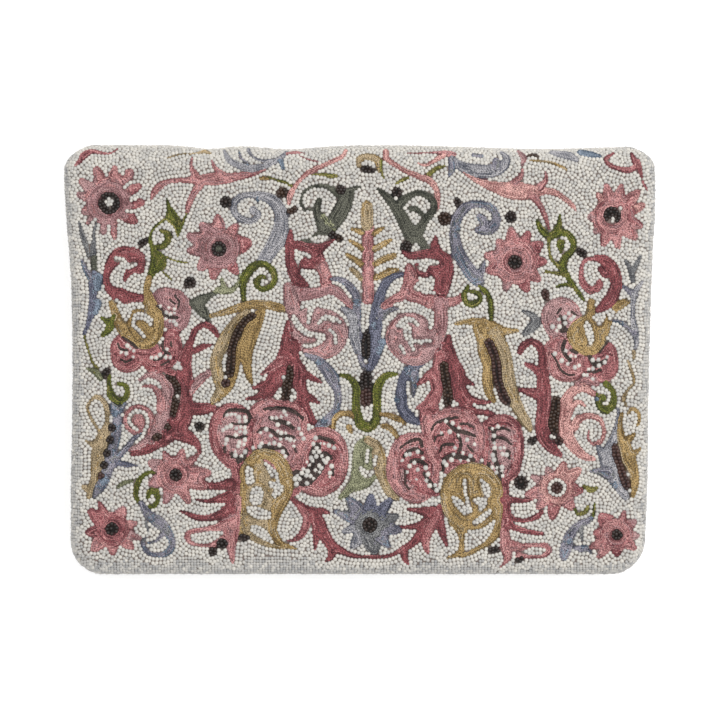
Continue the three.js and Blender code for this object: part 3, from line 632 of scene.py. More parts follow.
    ("black", [(557, 313.5, 2.3), (561, 308.5, 2)], [(560, 317, 3.9), (564, 322, 5.5), (562, 330, 4.7),
        (566, 330, 4.7)], [(571, 311.5, 2), (575.5, 315, 2.3)], [(565, 341, 3.1), (562.5, 348, 3.9),
        (566, 356, 3.9), (570, 360, 3.9)], [(571, 350, 3.1), (577, 353, 3.1)], [(552, 354, 2),
        (557, 362, 2.3), (560, 369, 2.3), (567, 374.5, 2.3), (574, 375, 2)], [(600, 352, 2.3),
        (604, 347, 2), (608, 342, 2)], [(590, 357, 4.7), (595, 364, 6.2), (602, 363, 4.7),
        (606, 360, 3.1)], [(588, 371.5, 2.3), (595, 371.5, 3.1), (601, 370, 2.3)]),
    ("maroon", [(520, 352, 6), (523, 346, 8), (531, 342, 7), (539, 346, 8), (542, 355, 8), (543, 366, 10),
        (543, 378, 12), (544, 392, 14), (544, 406, 14), (543, 420, 15), (544, 434, 16), (550, 446, 12),
        (560, 455, 5)], [(526, 364, 4), (534, 368, 7), (541, 375, 8)], [(520, 390, 4), (530, 392, 9),
        (540, 395, 12)]),
    ("blush", [(594, 394, 6), (583, 388, 9), (572, 392, 10), (566, 402, 12), (563, 414, 14),
        (564, 426, 14), (568, 438, 13), (575, 448, 11), (584, 456, 8), (594, 459, 4)]),
    ("pink", [(578, 384, 7), (588, 380, 9), (597, 384, 6)]),
    ("blush", [(585, 406, 3), (579, 402, 5), (573, 406, 6), (568, 414, 8)], [(574, 427, 9), (579, 419, 8),
        (590, 416, 6), (600, 420, 5), (604, 430, 4), (602, 440, 4), (597, 446, 3)]),
    ("rose", [(589, 431, 2), (588, 438, 3), (593, 444, 3), (599, 441, 3)]),
    ("brown", [(556, 400, 8), (555, 412, 10), (553, 424, 10), (555, 432, 8)]),
    ("plum", [(559, 441, 9)]),
    ("white", [(552, 437, 5)]),
    ("green", [(606, 384, 7), (612, 390, 6), (614, 398, 6), (611, 407, 8), (604, 410, 8), (598, 403, 6),
        (597, 394, 3)], [(602, 398, 8)]),
    ("teal", [(597, 399, 4)]),
    ("mist", [(618, 409, 3), (617, 422, 3.5), (614, 436, 7), (610, 450, 12), (608, 462, 17),
        (613, 475, 15), (620, 487, 12), (626, 497, 7)], [(598, 447, 4), (602, 454, 9), (608, 464, 14)]),
    ("blue", [(591, 471, 3), (601, 472, 8), (608, 474, 12)]),
    ("teal", [(615, 486, 6)]),
    ("gold", [(628, 414, 3), (632, 409, 4), (638, 412, 4), (640, 419, 4), (638, 425, 3)], [(622, 414, 4),
        (620, 424, 5), (621, 436, 8), (625, 446, 12), (628, 456, 14), (632, 466, 12), (635, 476, 9),
        (635, 486, 8), (633, 496, 4)], [(629, 439, 7), (635, 434, 3)], [(632, 455, 8), (641, 449, 3)]),
    ("plum", [(615, 447, 7), (617, 457, 8), (620, 466, 7), (623, 476, 8), (627, 486, 8)]),
    ("tan", [(628, 361, 2), (632, 372, 3), (634, 383, 3), (628, 390, 3), (624, 398, 4), (626, 406, 3)]),
    # far right
    ("slate", [(626, 261, 3), (631, 271, 6), (633, 281, 5)], [(641, 256, 3), (636, 265, 5),
        (632, 274, 5)]),
    ("blue", [(624, 287, 4), (630, 292, 6), (635, 296, 7)]),
    ("mist", [(643, 282, 3), (638, 288, 5), (634, 296, 6), (633, 306, 5), (633, 318, 5), (635, 330, 7),
        (637, 342, 5), (635, 348, 3)]),
    ("blue", [(614, 321, 3), (620, 322, 4), (628, 328, 5), (634, 334, 6)]),
    ("tan", [(634, 352, 4), (634, 358, 3)]),
    ("crimson", [(600, 260, 5), (590, 259, 4), (583, 263, 4), (581, 273, 5), (583, 283, 7), (590, 290, 8),
        (597, 287, 6), (598, 281, 3)]),
    ("maroon", [(596, 258, 6), (605, 261, 11), (613, 270, 13), (616, 283, 12), (613, 295, 13),
        (606, 304, 12), (598, 310, 6)], [(600, 269, 5), (606, 275, 8)]),
    ("green", [(537, 221, 3), (541, 229, 7), (549, 236, 8), (557, 233, 9), (566, 233, 7), (573, 241, 7),
        (572, 251, 6), (565, 258, 8), (563, 267, 8), (567, 276, 6), (573, 285, 5), (580, 295, 4),
        (584, 300, 3)], [(560, 215, 2), (559, 225, 6), (556, 233, 9)], [(558, 246, 4), (561, 243, 8),
        (561, 251, 4)]),
    ("olive", [(549, 238, 4), (549, 250, 3), (552, 260, 3), (559, 267, 4)], [(546, 272, 3), (555, 273, 3),
        (565, 275, 5)]),
    ("green", [(557, 287, 3), (564, 285, 4), (571, 285, 4)]),
    ("crimson", [(597, 290, 5), (601, 285, 5), (600, 280, 3)]),
    ("dark", [(580, 252, 8), (584, 254, 8)]),
    ("plum", [(545, 293, 8), (546, 298, 7)]),
    # large pomegranate, right
    ("rose", [(414, 457, 50), (413, 470, 54), (416, 480, 46)]),
    ("crimson", [(416, 461, 34), (416, 474, 32)], [(501, 436, 44), (503, 450, 42), (503, 465, 36)]),
    ("mauve", [(502, 438, 26), (502, 452, 25), (500, 466, 19)]),
    ("rose", [(428, 416, 8), (426, 426, 9), (425, 437, 6)], [(455, 437, 60), (455, 446, 58)]),
    ("crimson", [(455, 439, 42), (456, 447, 38)]),
    ("pink", [(466, 437, 20), (470, 446, 18)]),
    ("brown", [(444, 366, 9), (445, 376, 8), (447, 388, 9), (448, 398, 10), (448, 405, 7)]),
    ("white", [(441, 404, 4), (441, 409, 4)], [(456, 404, 5)]),
    ("mauve", [(402, 470, 4), (404, 480, 4), (411, 487, 4), (420, 488, 4)]),
    ("crimson", [(420, 489, 9), (430, 492, 9), (437, 494, 5)]),
    ("mauve", [(408, 448, 4), (416, 446, 4)]),
    ("crimson", [(437, 440, 5), (440, 428, 5), (450, 421, 4)]),
    ("black", [(400.5, 447.5, 2), (409, 442, 2.7), (419, 439.5, 3.9), (422, 446, 3.1)], [(404, 457, 2.3),
        (407, 452, 3.1), (416, 449.5, 3.9), (422, 453, 3.9)], [(411, 461, 3.9), (420, 461, 4.7),
        (426, 465, 3.9)], [(405.5, 471, 2.3), (405.5, 483, 2.3), (409, 489.5, 2)], [(424, 473, 3.1),
        (428, 480, 4.7), (433, 487, 5.5), (438, 491, 3.1)], [(431.5, 430.5, 2), (435, 424, 2.3),
        (445, 419.5, 3.1), (457, 417.5, 2.3)], [(460, 423.5, 2), (467, 424, 2.7), (473, 427, 2)],
        [(447.5, 423, 3.1), (456, 430, 4.7), (467, 433, 3.9), (475, 436, 2.3)], [(434, 441, 2),
        (436.5, 436, 2), (443, 435, 2.3)], [(440, 451, 2), (443, 445, 2.3), (453, 444, 3.1)],
        [(443, 470, 3.1), (444, 460, 3.9), (452, 456, 5.5), (462, 457, 5.5), (474, 460, 3.1)],
        [(458, 436, 3.9), (461, 444, 3.1), (459, 451, 3.9)], [(467.5, 446, 2), (473, 452, 2.3)],
        [(489.5, 428, 3.1), (494, 431, 3.9), (493.5, 440, 3.9)], [(497, 429, 3.1), (505, 428.5, 2.3),
        (510, 431, 2)], [(496, 437, 3.1), (505, 439, 3.1), (511, 444, 2)], [(494.5, 451, 3.9),
        (496, 462, 4.7), (500, 474, 5.5), (502, 481, 3.1)], [(508, 452, 4.7), (509, 458, 3.1)],
        [(488, 463, 3.1), (491, 470, 3.9)]),
    ("gold", [(471, 500, 60), (472, 494, 63)], [(455, 520, 14), (462, 532, 10), (463, 545, 7),
        (458, 554, 5), (448, 558, 3)], [(497, 505, 12), (500, 520, 10), (497, 532, 9), (488, 543, 6),
        (476, 550, 5), (462, 556, 4)]),
    ("white", [(465, 481, 4.5), (466, 494, 4.5), (470, 511, 5)], [(454, 498, 4.5), (460, 505, 9),
        (466, 513, 6)], [(482, 481, 4.5), (486, 488, 8), (487, 495, 6)], [(476, 501, 6), (483, 502, 9),
        (481, 508, 6)], [(475, 523, 6), (482, 518, 6.5), (490, 512, 5)], [(467, 550, 5), (470, 540, 11),
        (478, 538, 12), (486, 532, 8), (491, 529, 4)], [(467, 535, 4), (467, 544, 5)]),
    # fronds, right
    ("crimson", [(505, 478, 7), (506, 490, 6), (506, 502, 7)]),
    ("maroon", [(506, 498, 8), (507, 510, 8), (508, 522, 10)]),
    ("rose", [(506, 518, 8), (505, 530, 9), (506, 545, 12), (508, 556, 9), (505, 563, 4), (500, 568, 2)]),
    ("maroon", [(504, 500, 8), (514, 500, 6), (524, 501, 4), (532, 500, 3)], [(506, 515, 8),
        (514, 519, 5), (526, 520, 4), (536, 517, 6), (542, 512, 4)], [(508, 525, 8), (518, 529, 6),
        (530, 532, 5), (543, 534, 4)]),
    ("rose", [(510, 546, 13), (522, 547, 8), (534, 545, 4), (546, 546, 6), (549, 551, 6), (543, 556, 4),
        (530, 557, 4), (518, 555, 6)]),
    ("dark", [(521, 483, 14)], [(491, 551, 7), (497, 550, 7)], [(518, 561, 6), (522, 559, 5)],
        [(532, 441, 9)]),
    # lower right
    ("green", [(574, 506, 2), (577, 514, 4)]),
    ("olive", [(581, 514, 4), (586, 511, 5), (588, 507, 3)]),
    ("green", [(595, 503, 2), (594, 511, 2.5), (593, 519, 2)]),
    ("olive", [(584, 486, 3), (591, 490, 6), (597, 488, 3)]),
    ("blue", [(591, 519, 5), (584, 523, 7), (575, 529, 9), (569, 538, 11), (566, 549, 12), (564, 557, 8)],
        [(574, 548, 3), (581, 549, 7), (589, 549, 6), (591, 553, 3)]),
    ("slate", [(581, 530, 5), (582, 540, 3)]),
    ("teal", [(568, 542, 6)]),
]
CHART_LOW, CHART_SIZE, FINE = (55, 135), (612, 450), 3
KINDS = [
    "white", "dark", "brown", "plum", "rose", "pink", "mauve", "crimson", "maroon", "blush", "blue", "mist",
    "indigo", "slate", "teal", "gold", "ochre", "tan", "green", "olive", "sage", "charcoal", "black",
]
LEAST_WIDTH = 1.4
PETAL = [(0.06, 0.85), (0.35, 1.6), (0.75, 1.9)]
chart = np.zeros((CHART_SIZE[1] * FINE, CHART_SIZE[0] * FINE), np.uint8)


def through(points):
    """A smooth line through the points of a stroke, in small steps."""
    points = np.array(points, float)
    if len(points) == 1:
        return points
    ends = np.vstack([2 * points[0] - points[1], points, 2 * points[-1] - points[-2]])
    line = []
    for a, b, c, d in zip(ends, ends[1:], ends[2:], ends[3:]):
        t = np.linspace(0, 1, max(int(2 * np.hypot(*(c - b)[:2])), 2))[:, None]
        bend = 2 * a - 5 * b + 4 * c - d + t * (3 * b - a - 3 * c + d)
        line.append(b + 0.5 * t * (c - a + t * bend))
    return np.vstack(line)


def stroke(kind, points):
    """Marks one stroke on the chart, as a disc at every step of its line."""
    rows, columns = chart.shape
    for right, down, width in through(points):
        x, y = (right - CHART_LOW[0]) * FINE, (down - CHART_LOW[1]) * FINE
        r = max(width, LEAST_WIDTH) / 2 * FINE
        x0, x1 = max(int(x - r), 0), min(int(x + r) + 2, columns)
        y0, y1 = max(int(y - r), 0), min(int(y + r) + 2, rows)
        if x0 < x1 and y0 < y1:
            at_y, at_x = np.ogrid[y0:y1, x0:x1]
            chart[y0:y1, x0:x1][(at_x - x) ** 2 + (at_y - y) ** 2 <= r * r] = KINDS.index(kind)


def draw(entries):
    for kind, *lines in entries:
        for points in lines:
            stroke(kind, points)


draw(STROKES)
for kind, middle, body, eye, petals in FLOWERS:
    for right, down, width, petal_kind in petals:
        tip, lean = np.array([right, down]), np.array([middle[0] - right, middle[1] - down])
        stroke(petal_kind, [(*(tip + lean * share), width * wider) for share, wider in PETAL])
    stroke(kind, [(*middle, 2 * body)])
    stroke("dark", [eye])
draw(EYES)

# The unrolled flap as a fine net of cells, each with the kind of work that covers it, its distance from
# the nearest outline of the pattern, and the way the outline runs there. Rows of beads and of stitches
# are laid along those outlines, as they are worked by hand.
CELL, MARGIN, OUTLINE_REACH, NET_HALF = 0.22, 10, 40, 118
NONE_ABOVE, NONE_BELOW = -9999, 99999
FLAT_SLOPE = 1e-6
DIRECTIONS = 24
ON_ROW = 0.6 * CELL
LOOK_AHEAD, LOOK_DOWN = 0.2, 1.5
net_across = (np.arange(int(2 * NET_HALF / CELL)) * CELL - NET_HALF)[None, :]
net_along = (np.arange(int(HEM_AT / CELL) + 1) * CELL)[:, None]
net_across, net_along = np.broadcast_arrays(net_across, net_along)
net_points = wrap(net_across, net_along, 0.0)
chart_right = np.rint((CHART_MIDDLE[0] + net_points[..., 0] / CHART_STEP - CHART_LOW[0]) * FINE).astype(int)
chart_down = np.rint((CHART_MIDDLE[1] - net_points[..., 1] / CHART_STEP - CHART_LOW[1]) * FINE).astype(int)
work = chart[np.clip(chart_down, 0, chart.shape[0] - 1), np.clip(chart_right, 0, chart.shape[1] - 1)]
work[net_along < FOLD_LENGTH / 2] = KINDS.index("white")
left_edge, right_edge = row_edges(net_along[:, 0])
on_cloth = (net_across > left_edge[:, None]) & (net_across < right_edge[:, None])
work = np.pad(work, MARGIN)
on_cloth = np.pad(on_cloth, MARGIN)


def on_net(across, along):
    """Where places on the unrolled cloth lie on the net, counted in cells."""
    return (across + NET_HALF) / CELL + MARGIN, along / CELL + MARGIN


def at_cells(field, x, y):
    return field[np.rint(y).astype(int), np.rint(x).astype(int)]


def outline_distance(work):
    """How far each cell is from the nearest outline, with all dark beads taken as one kind."""
    family = np.where((work > 0) & (work <= KINDS.index("plum")), 1, work)
    outline = np.zeros(work.shape, bool)
    for a, b in ((np.s_[:, 1:], np.s_[:, :-1]), (np.s_[1:], np.s_[:-1])):
        differs = family[a] != family[b]
        outline[a] |= differs
        outline[b] |= differs
    rows = np.arange(len(work))[:, None]
    above = np.maximum.accumulate(np.where(outline, rows, NONE_ABOVE), axis=0)
    below = np.minimum.accumulate(np.where(outline, rows, NONE_BELOW)[::-1], axis=0)[::-1]
    drop = np.minimum(np.minimum(rows - above, below - rows), OUTLINE_REACH).astype(np.float32) ** 2
    nearest = drop.copy()
    for k in range(1, OUTLINE_REACH):
        nearest[:, k:] = np.minimum(nearest[:, k:], drop[:, :-k] + k * k)
        nearest[:, :-k] = np.minimum(nearest[:, :-k], drop[:, k:] + k * k)
    return (np.sqrt(nearest) + 0.5) * CELL


def softened(field):
    for axis in (0, 1):
        field = (np.roll(field, 1, axis) + 2 * field + np.roll(field, -1, axis)) / 4
    return field


distance = outline_distance(work)
soft_distance = softened(softened(softened(distance)))
slope_along, slope_across = np.gradient(soft_distance, CELL)
steepness = np.hypot(slope_along, slope_across) + FLAT_SLOPE
slope_along /= steepness
slope_across /= steepness


def prints(length, radius):
    """The cells that one bead or stitch keeps for itself, turned to each of the directions."""
    reach = int((length / 2 + radius) / CELL) + 1
    y, x = np.mgrid[-reach:reach + 1, -reach:reach + 1] * CELL
    masks = []
    for k in range(DIRECTIONS):
        c, s = math.cos(math.pi * k / DIRECTIONS), math.sin(math.pi * k / DIRECTIONS)
        beyond = np.maximum(np.abs(x * c + y * s) - length / 2, 0)
        masks.append(np.hypot(beyond, y * c - x * s) < radius)
    return reach, masks


def lay_one(laid, taken, shape, x, y, run_x, run_y):
    reach, masks = shape
    i, j = int(y + 0.5), int(x + 0.5)
    turned = int(math.atan2(run_y, run_x) / math.pi * DIRECTIONS + (DIRECTIONS + 0.5)) % DIRECTIONS
    taken[i - reach:i + reach + 1, j - reach:j + reach + 1] |= masks[turned]
    laid.append((x, y, run_x, run_y))


def lay_rows(laid, taken, free, shape, levels, step):
    """Lays one row after another along the outlines, each at its own distance from them."""
    stride = step / CELL
    for level in levels:
        near = np.argwhere(free & (np.abs(distance - level) < ON_ROW))
        for i, j in near.tolist():
            if taken[i, j]:
                continue
            start_x, start_y = -slope_along[i, j], slope_across[i, j]
            lay_one(laid, taken, shape, j, i, start_x, start_y)
            for way in (1, -1):
                x, y, run_x, run_y = float(j), float(i), start_x * way, start_y * way
                while True:
                    x += run_x * stride
                    y += run_y * stride
                    a, b = int(y + 0.5), int(x + 0.5)
                    off = (distance[a, b] - level) / CELL
                    x -= slope_across[a, b] * off
                    y -= slope_along[a, b] * off
                    a, b = int(y + 0.5), int(x + 0.5)
                    if taken[a, b] or not free[a, b]:
                        break
                    turn_x, turn_y = -slope_along[a, b], slope_across[a, b]
                    ahead = 1 if turn_x * run_x + turn_y * run_y >= 0 else -1
                    run_x, run_y = turn_x * ahead, turn_y * ahead
                    lay_one(laid, taken, shape, x, y, run_x, run_y)


def lay_rest(laid, taken, free, shape):
    """Fills the places that the rows left free."""
    for i, j in np.argwhere(free & ~taken).tolist():
        if not taken[i, j]:
            lay_one(laid, taken, shape, j, i, -slope_along[i, j], slope_across[i, j])


def unrolled(laid):
    """Places on the unrolled cloth, directions and kinds of what was laid on the net."""
    x, y, run_x, run_y = np.array(laid).T
    return (x - MARGIN) * CELL - NET_HALF, (y - MARGIN) * CELL, run_x, run_y, at_cells(work, x, y)


def set_on_cloth(across, along, run_x, run_y, depth):
    """Middle points of laid beads or stitches, and their directions: along the row, across it, outwards."""
    middle = wrap(across, along, depth)
    ahead = wrap(across + run_x * LOOK_AHEAD, along + run_y * LOOK_AHEAD, depth) - middle
    outward = wrap(across, along, 0.0) - wrap(across, along, LOOK_DOWN)
    outward /= np.linalg.norm(outward, axis=1, keepdims=True)
    ahead -= outward * np.sum(ahead * outward, axis=1, keepdims=True)
    ahead /= np.linalg.norm(ahead, axis=1, keepdims=True) + TINY
    return middle, ahead, np.cross(outward, ahead), outward


def joined(name, shape, triangles, places, sizes, shades, rounded=True):
    """One mesh of many copies of a small shape. Each copy has its own size and shade."""
    middle, ahead, aside, outward = places
    scaled = shape[None] * sizes[:, None, :]
    points = middle[:, None] + sum(
        scaled[:, :, k, None] * direction[:, None] for k, direction in enumerate((ahead, aside, outward))
    )
    count = len(middle)
    corners = (triangles[None] + np.arange(count)[:, None, None] * len(shape)).reshape(-1)
    mesh = bpy.data.meshes.new(name)
    mesh.vertices.add(count * len(shape))
    mesh.vertices.foreach_set("co", (points / MM_PER_METRE).astype(np.float32).reshape(-1))
    mesh.loops.add(len(corners))
    mesh.loops.foreach_set("vertex_index", corners.astype(np.int32))
    mesh.polygons.add(len(corners) // 3)
    mesh.polygons.foreach_set("loop_start", np.arange(0, len(corners), 3, dtype=np.int32))
    mesh.polygons.foreach_set("use_smooth", np.resize(rounded, len(corners) // 3))
    shade = mesh.attributes.new("shade", "FLOAT", "POINT")
    shade.data.foreach_set("value", np.repeat(shades, len(shape)).astype(np.float32))
    mesh.update(calc_edges=True)
    mesh.validate()
    piece = bpy.data.objects.new(name, mesh)
    bpy.context.collection.objects.link(piece)
    return piece


# The embroidery. Silk in nineteen dyes, worked in close rows of chain stitch that follow each motif's
# outline, flat on the cloth and lower than the beads round it. Neighbouring stitches share a strand, so
# tones and dye lots change slowly along a row. Stitches that meet beads are painted darker, as painted
# shade of the beads beside them.
STITCH_ROW, STITCH_STEP, STITCH_LENGTH, STITCH_WIDTH, STITCH_HEIGHT = 0.6, 1.0, 1.9, 0.78, 0.3
STITCH_DEPTH, STITCH_ROWS, STITCH_EDGE = 0.68, 12, 0.3
STITCH_KEEPS_LENGTH, STITCH_KEEPS_WIDTH = 0.8, 0.62
STITCH_SLANT, STITCH_UNEVEN, DYE_BLEED = 0.12, (0.9, 1.1), 0.6
STRAND_LASTS, STRAND_CHANGES = 0.86, 0.51
PALE_LOT, DEEP_LOT = 1.0, -1.25
MIDDLE_SHADE, DRIFT_SHADE, STRAND_SHADE, PAINTED_RIM_SHADE = 0.55, 0.18, 0.22, 0.3
DYES = {
    "rose": ((0.222, 0.075, 0.079), (0.713, 0.379, 0.367)),
    "pink": ((0.188, 0.078, 0.082), (0.541, 0.309, 0.315)),
    "mauve": ((0.181, 0.087, 0.093), (0.618, 0.39, 0.384)),
    "crimson": ((0.149, 0.033, 0.042), (0.534, 0.225, 0.227)),
    "maroon": ((0.082, 0.017, 0.023), (0.368, 0.111, 0.119)),
    "blush": ((0.282, 0.105, 0.103), (0.83, 0.5, 0.455)),
    "blue": ((0.081, 0.085, 0.121), (0.399, 0.375, 0.43)),
    "mist": ((0.107, 0.115, 0.148), (0.526, 0.511, 0.527)),
    "indigo": ((0.049, 0.055, 0.09), (0.243, 0.248, 0.323)),
    "slate": ((0.075, 0.077, 0.089), (0.347, 0.345, 0.342)),
    "teal": ((0.048, 0.076, 0.117), (0.298, 0.357, 0.436)),
    "gold": ((0.171, 0.104, 0.031), (0.565, 0.398, 0.18)),
    "ochre": ((0.144, 0.084, 0.025), (0.474, 0.327, 0.138)),
    "tan": ((0.177, 0.128, 0.063), (0.595, 0.468, 0.298)),
    "green": ((0.027, 0.033, 0.005), (0.189, 0.204, 0.033)),
    "olive": ((0.075, 0.069, 0.012), (0.353, 0.316, 0.097)),
    "sage": ((0.095, 0.102, 0.051), (0.415, 0.418, 0.266)),
    "black": ((0.017, 0.012, 0.01), (0.1, 0.068, 0.06)),
    "charcoal": ((0.025, 0.027, 0.019), (0.178, 0.178, 0.139)),
}
PALER = {
    "maroon": "crimson", "crimson": "rose", "rose": "pink", "pink": "mauve",
    "blue": "slate", "gold": "tan", "green": "olive",
}
DEEPER = {
    "crimson": "maroon", "rose": "crimson", "pink": "rose", "mauve": "rose",
    "blue": "teal", "tan": "gold", "olive": "green",
}
FAMILIES = [KINDS.index(kind) for kind in ("rose", "blue", "gold", "green", "black")]
random = np.random.default_rng(7)
threads_free = on_cloth & (work >= KINDS.index("rose")) & (distance > STITCH_ROW * STITCH_EDGE)
stitches, sewn = [], np.zeros(work.shape, bool)
stitch_print = prints(STITCH_STEP * STITCH_KEEPS_LENGTH, STITCH_ROW * STITCH_KEEPS_WIDTH)
stitch_levels = [(k + 0.5) * STITCH_ROW for k in range(STITCH_ROWS)]
lay_rows(stitches, sewn, threads_free, stitch_print, stitch_levels, STITCH_STEP)
lay_rest(stitches, sewn, threads_free, stitch_print)
across, along, run_x, run_y, kinds = unrolled(stitches)
grain = np.array([(-0.5, 0, -0.3), (0, 0.5, 0), (0, 0, 1), (0, -0.5, 0), (0, 0, -0.6), (0.5, 0, -0.3)])
grain_faces = []
for k in range(1, 5):
    n = k % 4 + 1
    grain_faces += [(0, k, n), (5, n, k)]
grain_faces = np.array(grain_faces)

near_across = across + random.normal(0, DYE_BLEED, len(across))
near_along = along + random.normal(0, DYE_BLEED, len(across))
near = at_cells(work, *on_net(near_across, near_along))
kinds = np.where(np.digitize(near, FAMILIES) == np.digitize(kinds, FAMILIES), near, kinds)
slant = random.normal(0, STITCH_SLANT, len(across))
run_x, run_y = run_x * np.cos(slant) - run_y * np.sin(slant), run_x * np.sin(slant) + run_y * np.cos(slant)


def swaying(to, by, pace, sway, sway_pace):
    return np.sin(to * pace + sway * np.sin(by * sway_pace))


drift = swaying(across, along, pace=0.31, sway=1.7, sway_pace=0.13)
drift = drift * swaying(along, across, pace=0.27, sway=1.3, sway_pace=0.17)
# Painted shade: stitches within two rows of the bead ground are darkened, for the shade the beads cast on
# them.
from_beads = outline_distance(np.minimum(work, KINDS.index("rose")))
painted_rim_shade = np.clip(1 - at_cells(from_beads, *on_net(across, along)) / (2 * STITCH_ROW), 0, 1)
strands, dye_lots = random.normal(0, 1, (2, len(across)))
for tones in (strands, dye_lots):
    for k in range(1, len(tones)):
        tones[k] = STRAND_LASTS * tones[k - 1] + STRAND_CHANGES * tones[k]
for lot, swaps in ((dye_lots > PALE_LOT, PALER), (dye_lots < DEEP_LOT, DEEPER)):
    swapped = np.arange(len(KINDS))
    for kind, other in swaps.items():
        swapped[KINDS.index(kind)] = KINDS.index(other)
    kinds = np.where(lot, swapped[kinds], kinds)
stitch_shades = MIDDLE_SHADE + DRIFT_SHADE * drift + STRAND_SHADE * strands - PAINTED_RIM_SHADE * painted_rim_shade
stitch_shades = np.clip(stitch_shades, 0, 1)
stitch_sizes = np.array([STITCH_LENGTH, STITCH_WIDTH, STITCH_HEIGHT])
stitch_sizes = stitch_sizes * random.uniform(*STITCH_UNEVEN, (len(across), 1))


def node(tree, kind, values=(), **settings):
    made = tree.nodes.new(kind)
    for key, value in settings.items():
        setattr(made, key, value)
    for key, value in dict(values).items():
        made.inputs[key].default_value = value
    return made


def new_material(name, roughness, **sockets):
    material = bpy.data.materials.new(name)
    material.use_nodes = True
    shader = material.node_tree.nodes["Principled BSDF"]
    shader.inputs["Roughness"].default_value = roughness
    for key, value in sockets.items():
        shader.inputs[key.replace("_", " ")].default_value = value
    return material, material.node_tree, shader


def ramp(tree, *stops):
    """A colour ramp between two stops, each a place and a colour."""
    made = node(tree, "ShaderNodeValToRGB")
    for element, (place, colour) in zip(made.color_ramp.elements, stops):
        element.position = place
        element.color = (*colour, 1)
    return made


def raise_by(tree, shader, height, strength, distance, **settings):
    """Lets a height show as relief on the surface."""
    bump = node(tree, "ShaderNodeBump", {"Strength": strength, "Distance": distance}, **settings)
    tree.links.new(height, bump.inputs["Height"])
    tree.links.new(bump.outputs["Normal"], shader.inputs["Normal"])


def tone_by_shade(tree, shader, noise, share, dark, light):
    """Colours each stitch or bead between two tones, by its own shade and a noise through it."""
    shade = node(tree, "ShaderNodeAttribute", attribute_name="shade")
    places = node(tree, "ShaderNodeTexCoord")
    cloudy = node(tree, "ShaderNodeTexNoise", noise)
    tree.links.new(places.outputs["Object"], cloudy.inputs["Vector"])
    mixed = node(tree, "ShaderNodeMath", {1: share}, operation="MULTIPLY_ADD")
    tree.links.new(cloudy.outputs["Fac"], mixed.inputs[0])
    tree.links.new(shade.outputs["Fac"], mixed.inputs[2])
    colours = ramp(tree, (0.1, dark), (1.0, light))
    tree.links.new(mixed.outputs[0], colours.inputs["Fac"])
    tree.links.new(colours.outputs["Color"], shader.inputs["Base Color"])
    return cloudy


def silk_thread(name, dark, light):
    material, tree, shader = new_material(
        name, 0.6, Sheen_Weight=0.1, Sheen_Roughness=0.4, Specular_IOR_Level=0.25
    )
    fibres = tone_by_shade(tree, shader, {"Scale": 2600.0, "Detail": 2.0}, 0.3, dark, light)
    raise_by(tree, shader, fibres.outputs["Fac"], strength=0.3, distance=0.0001)
    return material


for dye, (dark, light) in DYES.items():
    own = kinds == KINDS.index(dye)
    places = set_on_cloth(across[own], along[own], run_x[own], run_y[own], STITCH_DEPTH)
    piece = joined(f"{dye}_chain_stitch", grain, grain_faces, places, stitch_sizes[own], stitch_shades[own])
    piece.data.materials.append(silk_thread(f"{dye}_silk", dark, light))
    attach(piece, "root")

# The cotton of the flap cloth is tinted by the work above it: pale under the white beads, near black
# under the dark beads, and under each thread colour that thread's dark tone made darker still, partly
# the thread's own colour and partly painted shade in the gaps between stitches.
# Painted shade: the factor by which the thread's dark tone is darkened again under the stitches.
GAP_PAINTED_SHADE = 0.8
UNDER_BEADS = {
    "white": (0.3, 0.243, 0.217),
    "dark": (0.012, 0.011, 0.01),
    "brown": (0.02, 0.013, 0.01),
    "plum": (0.02, 0.012, 0.012),
}
below = []
for kind in KINDS:
    below.append([GAP_PAINTED_SHADE * v for v in DYES[kind][0]] if kind in DYES else UNDER_BEADS[kind])
below = np.array(below)
places = np.empty(2 * len(flap_cloth.data.loops), np.float32)
flap_cloth.data.uv_layers["unrolled"].data.foreach_get("uv", places)
tones = below[at_cells(work, *on_net(*places.reshape(-1, 2).astype(float).T))]
tones = np.pad(tones, ((0, 0), (0, 1)), constant_values=1)
tint = flap_cloth.data.color_attributes.new("work_above", "FLOAT_COLOR", "CORNER")
tint.data.foreach_set("color", tones.astype(np.float32).reshape(-1))


def weave_group():
    """A plain weave on a UV map in millimetres: the light and dark of its threads, and their height."""
    group = bpy.data.node_groups.new("plain_weave", "ShaderNodeTree")
    for name, kind in (("UV", "NodeSocketVector"), ("Threads", "NodeSocketFloat")):
        group.interface.new_socket(name, in_out="INPUT", socket_type=kind)
    for name in ("Height", "Slub"):
        group.interface.new_socket(name, in_out="OUTPUT", socket_type="NodeSocketFloat")
    start, end = group.nodes.new("NodeGroupInput"), group.nodes.new("NodeGroupOutput")
    heights = []
    for direction in ("X", "Y"):
        wave = node(group, "ShaderNodeTexWave", {"Distortion": 0.6, "Detail": 1.0})
        wave.bands_direction = direction
        group.links.new(start.outputs["UV"], wave.inputs["Vector"])
        group.links.new(start.outputs["Threads"], wave.inputs["Scale"])
        heights.append(wave)
    over = node(group, "ShaderNodeMath", operation="MULTIPLY")
    for k, wave in enumerate(heights):
        group.links.new(wave.outputs["Fac"], over.inputs[k])
    slub = node(group, "ShaderNodeTexNoise", {"Scale": 0.35, "Detail": 3.0})
    group.links.new(start.outputs["UV"], slub.inputs["Vector"])
    group.links.new(over.outputs[0], end.inputs["Height"])
    group.links.new(slub.outputs["Fac"], end.inputs["Slub"])
    return group


plain_weave = weave_group()


def woven(tree, threads):
    uv = node(tree, "ShaderNodeUVMap", uv_map="unrolled")
    weave = node(tree, "ShaderNodeGroup", {"Threads": threads}, node_tree=plain_weave)
    tree.links.new(uv.outputs["UV"], weave.inputs["UV"])
    return weave


